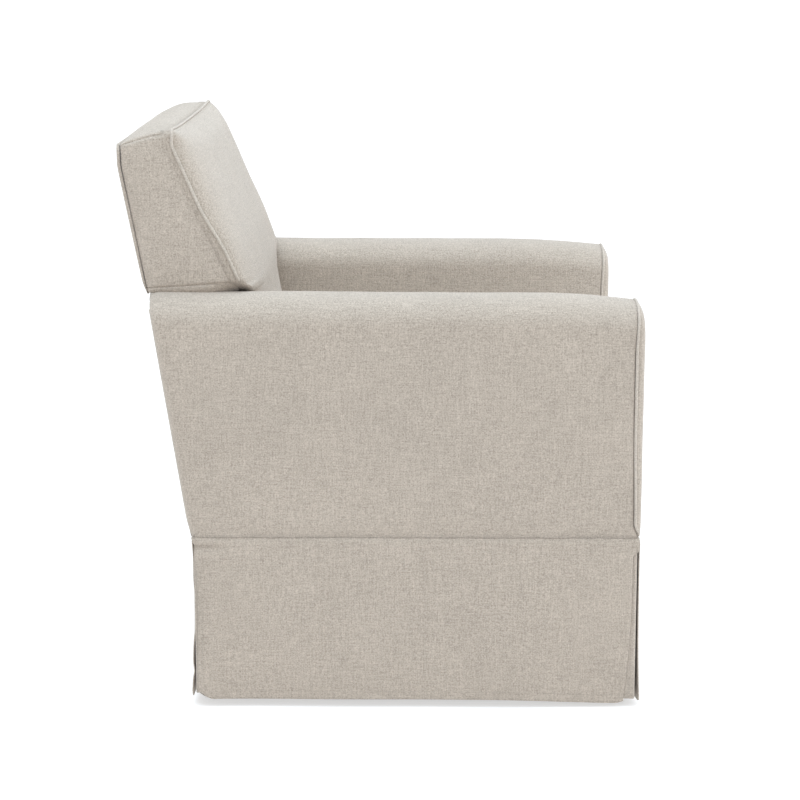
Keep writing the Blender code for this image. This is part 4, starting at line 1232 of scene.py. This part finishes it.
def end_skirts():
    """Skirt panels across the front and the rear."""
    top = FRONT_SKIRT_HIGH.z + SKIRT_TOP_LIFT
    edge = HALF_WIDTH - 0.0022
    planes = (
        ("front", FRONT_SKIRT_LOW.y + 0.0005, -1.0, hem_z(-0.40), 0.004, "front_border_cloth"),
        ("rear", REAR_SKIRT_HIGH.y - 0.0012, 1.0, hem_z(0.2), 0.012, "outer_back_cloth"),
    )
    for word, y, out, hem, corner_rise, hung_from in planes:

        def place(u, v):
            half = edge - 0.0045 * ease(v, 0.02, 0.10) - 0.0020 * v
            bottom = hem + corner_rise * corner_share(abs(2 * u - 1), 0.972) ** 2
            return (-half + 2 * half * u, y, top + (bottom - top) * v)

        def wave(u, v):
            near = ease(abs(2 * u - 1), 0.88, 1.0)
            hang = 0.0018 * sin(u * 9.0 + out) + 0.0010 * sin(u * 21.0 + v * 2.0)
            if out > 0:
                pinch = 0.0058 * bell(v, 0.48, 0.16) + 0.0024 * bell(v, 0.16, 0.16)
                corner = 0.0026 * v ** 8 - pinch - 0.0018 * bell(v, 0.87, 0.035)
            else:
                corner = 0.0042 * v ** 3
            return hang * v ** 1.3 * (1 - near) + near * corner + drawn_in(v)

        seams = (np.s_[8:-3, 3], np.s_[8:-3, -4])
        made, thread = skirt_sheet(word, place, wave, (0.0, out, 0.0), seams)


def pleat_path(x, y, side, sign):
    """Plan of a folded strip round a corner, from the side leg to the end leg."""
    bend = 0.0045
    path = [(x, y - sign * away) for away in np.linspace(PLEAT_LEG, bend, 22)]
    for a in np.linspace(0.0, pi / 2, 9)[1:-1]:
        path.append((x - side * bend * (1 - cos(a)), y - sign * bend * (1 - sin(a))))
    path += [(x - side * away, y) for away in np.linspace(bend, PLEAT_LEG, 22)]
    return path


def corner_pleats():
    """Folded strip behind each split corner, a little shorter than the skirt."""
    for end, sign in ENDS:
        for word, side in SIDES:
            low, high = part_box(f"{end}_{word}_pleat")
            x = side * (outer_x(low, high) - 0.0012)
            y = low.y + 0.0003 if sign < 0 else high.y - 0.0012
            top, bottom = high.z, low.z - 0.0015 + (0.0085 if sign > 0 else 0.0)
            grid = []
            for v in np.linspace(0.0, 1.0, 34):
                row = []
                for k, (a, b) in enumerate(pleat_path(x, y, side, sign)):
                    fold = 0.0012 * sin(k * 0.30 + 2.0 * side) * v
                    row.append((a - side * fold, b - sign * fold, top + (bottom - top) * v))
                grid.append(row)
            # the pleat takes the darker linen copy, painted shade for its place in shadow
            made = grid_piece(f"{end}_{word}_pleat_cloth", grid, "inner")
            thicken(made, "seat", PLEAT_THICKNESS)
            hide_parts(f"{end}_{word}_pleat")


# ---- hidden frame and mechanism


def frame_looks():
    """Gives the CAD nodes that stay in view their own materials."""
    pairs = {
        "enamel": ("tower", "hanger"),
        "pine": ("seat_rail", "front_arm_post", "rear_arm_post", "arm_rail", "back_post"),
    }
    looks = {
        "enamel": ["base_ring", "base_cross", "swivel_plate"],
        "zinc": ["swivel_lower_race", "swivel_upper_race", "swivel_spindle"],
        "rubber": [f"base_foot_{i}" for i in range(1, 5)],
        "pine": ["front_seat_rail", "back_seat_rail", "back_top_rail"],
    }
    looks["zinc"] += [f"seat_spring_{i}" for i in range(1, 5)]
    looks["zinc"] += [f"{end}_lower_shaft" for end, _ in ENDS]
    for word, _ in SIDES:
        looks["zinc"] += [f"{end}_{word}_link" for end, _ in ENDS]
        for look, parts in pairs.items():
            looks[look] += [f"{word}_{part}" for part in parts]
    for look, nodes in looks.items():
        for node in nodes:
            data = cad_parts[node].data
            data.materials.clear()
            data.materials.append(MAT[look])


def foam_pads():
    """Foam on top of the arm rails, under the arm covers."""
    for word, _ in SIDES:
        p, faces = rounded_slab(*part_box(f"{word}_arm_pad"), 0.008, steps=(8, 30, 4))
        made = piece(f"{word}_arm_foam", p, faces, "foam", "seat")
        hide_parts(f"{word}_arm_pad")


def back_webbing():
    """Elastic straps across the inside of the back."""
    for number in (1, 2):
        node = f"back_webbing_{number}"
        low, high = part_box(node)
        grid = []
        for v in np.linspace(0.0, 1.0, 9):
            y = low.y + 0.001 + (high.y - low.y - 0.002) * v
            z = low.z + (high.z - low.z) * v
            grid.append([
                (low.x + (high.x - low.x) * u, y - 0.0004 * sin(pi * u), z)
                for u in np.linspace(0.0, 1.0, 60)
            ])
        made = grid_piece(f"{node}_strap", grid, "webbing")
        thicken(made, "seat", WEBBING_THICKNESS)
        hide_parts(node)


def dust_cover():
    """Thin black cloth under the seat rails, sagging a little, with a row of staples at each end."""
    low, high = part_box("dust_cover")
    grid = []
    for v in np.linspace(0.0, 1.0, 60):
        row = []
        for u in np.linspace(0.0, 1.0, 40):
            sag = DUST_SAG * sin(pi * u) * sin(pi * v)
            row.append((low.x + (high.x - low.x) * u, low.y + (high.y - low.y) * v, high.z - 0.0006 - sag))
        grid.append(row)
    made = grid_piece("dust_cover_cloth", grid, "dust")
    thicken(made, "seat", DUST_THICKNESS)
    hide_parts("dust_cover")
    lines = []
    for y in (low.y + 0.006, high.y - 0.006):
        for x in np.arange(low.x + 0.015, high.x - 0.01, STAPLE_PITCH):
            end_z, middle_z = low.z + 0.0006, low.z + 0.0004
            lines.append([(x - 0.005, y, end_z), (x, y, middle_z), (x + 0.005, y, end_z)])
    verts, faces = tubes_mesh(lines, STAPLE_RADIUS, 6)
    staples = piece("dust_cover_staples", verts, faces, "zinc", "seat")


# radius and height of each kind of nut or bolt head
LINK_NUT = (0.0085, 0.0060)
HANGER_BOLT = (0.0065, 0.0045)
TOWER_BOLT = (0.0065, 0.0055)
BALL_COUNT = 18
BALL_RADIUS = 0.0037
RING_POINTS = 24
WEBBING_THICKNESS = 0.0014
DUST_THICKNESS = 0.0007
DUST_SAG = 0.0035
STAPLE_RADIUS = 0.0006
STAPLE_PITCH = 0.030
CLIP_THICKNESS = 0.0012
CLIP_WIDTH = 0.020


def fastener(name, centre, axis, radius, height, body):
    """A hex head or nut on a round washer, pointing along axis."""
    rotation = Vector(axis).to_track_quat("Z", "Y").to_matrix()
    washer, washer_top = radius * 1.35, height * 0.18
    sector = pi / 6
    rings = [(washer, 0.0, False), (washer, washer_top, False), (radius, washer_top, True)]
    rings += [(radius, height * 0.85, True), (radius * 0.86, height, True)]
    verts = []
    for reach, level, hexagonal in rings:
        for angle in np.arange(RING_POINTS) * tau / RING_POINTS:
            flat = cos(sector) / cos(angle % (2 * sector) - sector) if hexagonal else 1.0
            point = (reach * flat * cos(angle), reach * flat * sin(angle), level)
            verts.append(Vector(centre) + rotation @ Vector(point))
    faces = capped_rings(len(rings), RING_POINTS)
    return piece(name, verts, faces, "zinc", body, smooth=False)


def swivel_balls():
    """The ring of bearing balls between the two races."""
    lower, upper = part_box("swivel_lower_race"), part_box("swivel_upper_race")
    level = (lower[1].z + upper[0].z) / 2 + 0.0003
    track = (lower[1].x - lower[0].x) / 2 - 0.010
    bm = bmesh.new()
    for angle in np.arange(BALL_COUNT) * tau / BALL_COUNT:
        ball = bmesh.ops.create_uvsphere(bm, u_segments=12, v_segments=8, radius=BALL_RADIUS)
        place = (track * cos(angle), (lower[0].y + lower[1].y) / 2 + track * sin(angle), level)
        bmesh.ops.translate(bm, verts=ball["verts"], vec=Vector(place))
    verts = [v.co.copy() for v in bm.verts]
    faces = [[v.index for v in f.verts] for f in bm.faces]
    bm.free()
    piece("swivel_balls", verts, faces, "zinc", "swivel_carrier")


def link_nuts(word, side):
    """Nuts on the upper and lower pivots of the swing links."""
    for end, _ in ENDS:
        node = f"{end}_{word}_link"
        low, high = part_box(node)
        y, radius = (low.y + high.y) / 2, (high.y - low.y) / 2
        upper = (side * (inner_x(low, high) - 0.0004), y, high.z - radius)
        lower = (side * (outer_x(low, high) + 0.0004), y, low.z + radius)
        fastener(f"{node}_upper_nut", upper, (-side, 0, 0), *LINK_NUT, "swivel_carrier")
        fastener(f"{node}_lower_nut", lower, (side, 0, 0), *LINK_NUT, "seat")


def hanger_and_tower_bolts(word, side):
    """Bolts under the seat's hangers and on the feet of the carrier's towers."""
    low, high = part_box(f"{word}_hanger")
    x, middle = side * (outer_x(low, high) - 0.0125), (low.y + high.y) / 2
    for k, y in enumerate((low.y + 0.02, middle - 0.075, middle + 0.075, high.y - 0.02)):
        place = (x, y, high.z - 0.0053)
        fastener(f"{word}_hanger_bolt_{k + 1}", place, (0, 0, -1), *HANGER_BOLT, "seat")
    low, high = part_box(f"{word}_tower")
    x, middle = side * (outer_x(low, high) - 0.010), (low.y + high.y) / 2
    for k, y in enumerate((middle - 0.035, middle + 0.035)):
        place = (x, y, low.z + 0.0057)
        fastener(f"{word}_tower_bolt_{k + 1}", place, (0, 0, 1), *TOWER_BOLT, "swivel_carrier")


def spring_clips():
    """Steel clips that hold the ends of the seat springs."""
    for number in range(1, 5):
        low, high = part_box(f"seat_spring_{number}")
        x = (low.x + high.x - CLIP_WIDTH) / 2
        for word, y, sign in (("front", low.y, 1.0), ("rear", high.y, -1.0)):
            profile = ((0.016, 0.0004), (0.006, 0.0042), (-0.004, 0.0048), (-0.010, 0.0008))
            edge = spaced([(x, y + sign * along, low.z + above) for along, above in profile], 10)
            grid = (edge, edge + np.array([CLIP_WIDTH, 0.0, 0.0]))
            made = grid_piece(f"spring_{number}_{word}_clip", grid, "zinc")
            thicken(made, "seat", CLIP_THICKNESS)


def mechanism_details():
    swivel_balls()
    for word, side in SIDES:
        link_nuts(word, side)
        hanger_and_tower_bolts(word, side)
    spring_clips()


# ---- stage, lights and camera


def stage():
    """A pale floor out to the horizon and a white studio sky."""
    mesh = bpy.data.meshes.new("floor")
    bm = bmesh.new()
    bmesh.ops.create_circle(bm, cap_ends=True, segments=96, radius=FLOOR_RADIUS)
    bm.to_mesh(mesh)
    bm.free()
    floor = bpy.data.objects.new("floor", mesh)
    bpy.context.scene.collection.objects.link(floor)
    look, _, shader = new_material("pale_floor")
    put_all(shader, {
        "Base Color": (0.55, 0.55, 0.55, 1.0),
        "Emission Color": (1.0, 1.0, 1.0, 1.0),
        "Emission Strength": 0.58,
        "Roughness": 0.9,
        "Specular IOR Level": 0.1,
    })
    mesh.materials.append(look)
    world = bpy.data.worlds.new("studio")
    world.use_nodes = True
    sky = world.node_tree
    direction = shader_node(sky, "ShaderNodeTexCoord").outputs["Generated"]
    height = shader_node(sky, "ShaderNodeSeparateXYZ", {"Vector": direction}).outputs[2]
    overhead = maths(sky, "POWER", remap(sky, height, 0.05, 1.0), 1.4)
    put(sky.nodes["Background"].inputs["Color"], mix_colour(sky, overhead, HORIZON_LIGHT, OVERHEAD_LIGHT))
    bpy.context.scene.world = world


def area_light(name, place, target, size, power, colour):
    data = bpy.data.lights.new(name, "AREA")
    data.shape = "SQUARE"
    data.size = size
    data.energy = power
    data.color = colour
    made = bpy.data.objects.new(name, data)
    bpy.context.scene.collection.objects.link(made)
    made.location = place
    made.rotation_euler = (Vector(target) - Vector(place)).to_track_quat("-Z", "Y").to_euler()
    made.visible_camera = False


def camera():
    data = bpy.data.cameras.new("camera")
    data.sensor_width = 36.0
    data.lens = CAMERA_LENS
    made = bpy.data.objects.new("camera", data)
    bpy.context.scene.collection.objects.link(made)
    made.location = CAMERA_PLACE
    level = cos(CAMERA_PITCH)
    forward = Vector((cos(CAMERA_YAW) * level, sin(CAMERA_YAW) * level, -sin(CAMERA_PITCH)))
    made.rotation_euler = forward.to_track_quat("-Z", "Y").to_euler()
    bpy.context.scene.camera = made


FLOOR_RADIUS = 400.0
HORIZON_LIGHT = (0.785, 0.785, 0.785)
OVERHEAD_LIGHT = (1.18, 1.24, 1.29)
TOP_LIGHT = {
    "name": "top_light", "place": (-0.6, 0.5, 3.3), "target": (0.0, 0.0, 0.5),
    "size": 2.2, "power": 56.0, "colour": (0.74, 0.89, 1.0),
}
FRONT_LIGHT = {
    "name": "front_light", "place": (-0.45, -2.6, 0.85), "target": (0.0, 0.0, 0.45),
    "size": 1.0, "power": 22.0, "colour": (0.88, 0.95, 1.0),
}
CAMERA_PLACE = (-3.6203, -0.0466, 1.159)
CAMERA_YAW = 0.0056
CAMERA_PITCH = 0.2047
CAMERA_LENS = 98.96

camera()
stage()
for light in (TOP_LIGHT, FRONT_LIGHT):
    area_light(**light)
bpy.context.scene.view_settings.view_transform = "Standard"

arm_upholstery()
arm_facings()
back_rear_panel(back_boxing())
back_front_cushion()
outer_back()
seat_cushion()
seat_deck()
front_border()
side_skirts()
end_skirts()
corner_pleats()
frame_looks()
foam_pads()
back_webbing()
dust_cover()
mechanism_details()
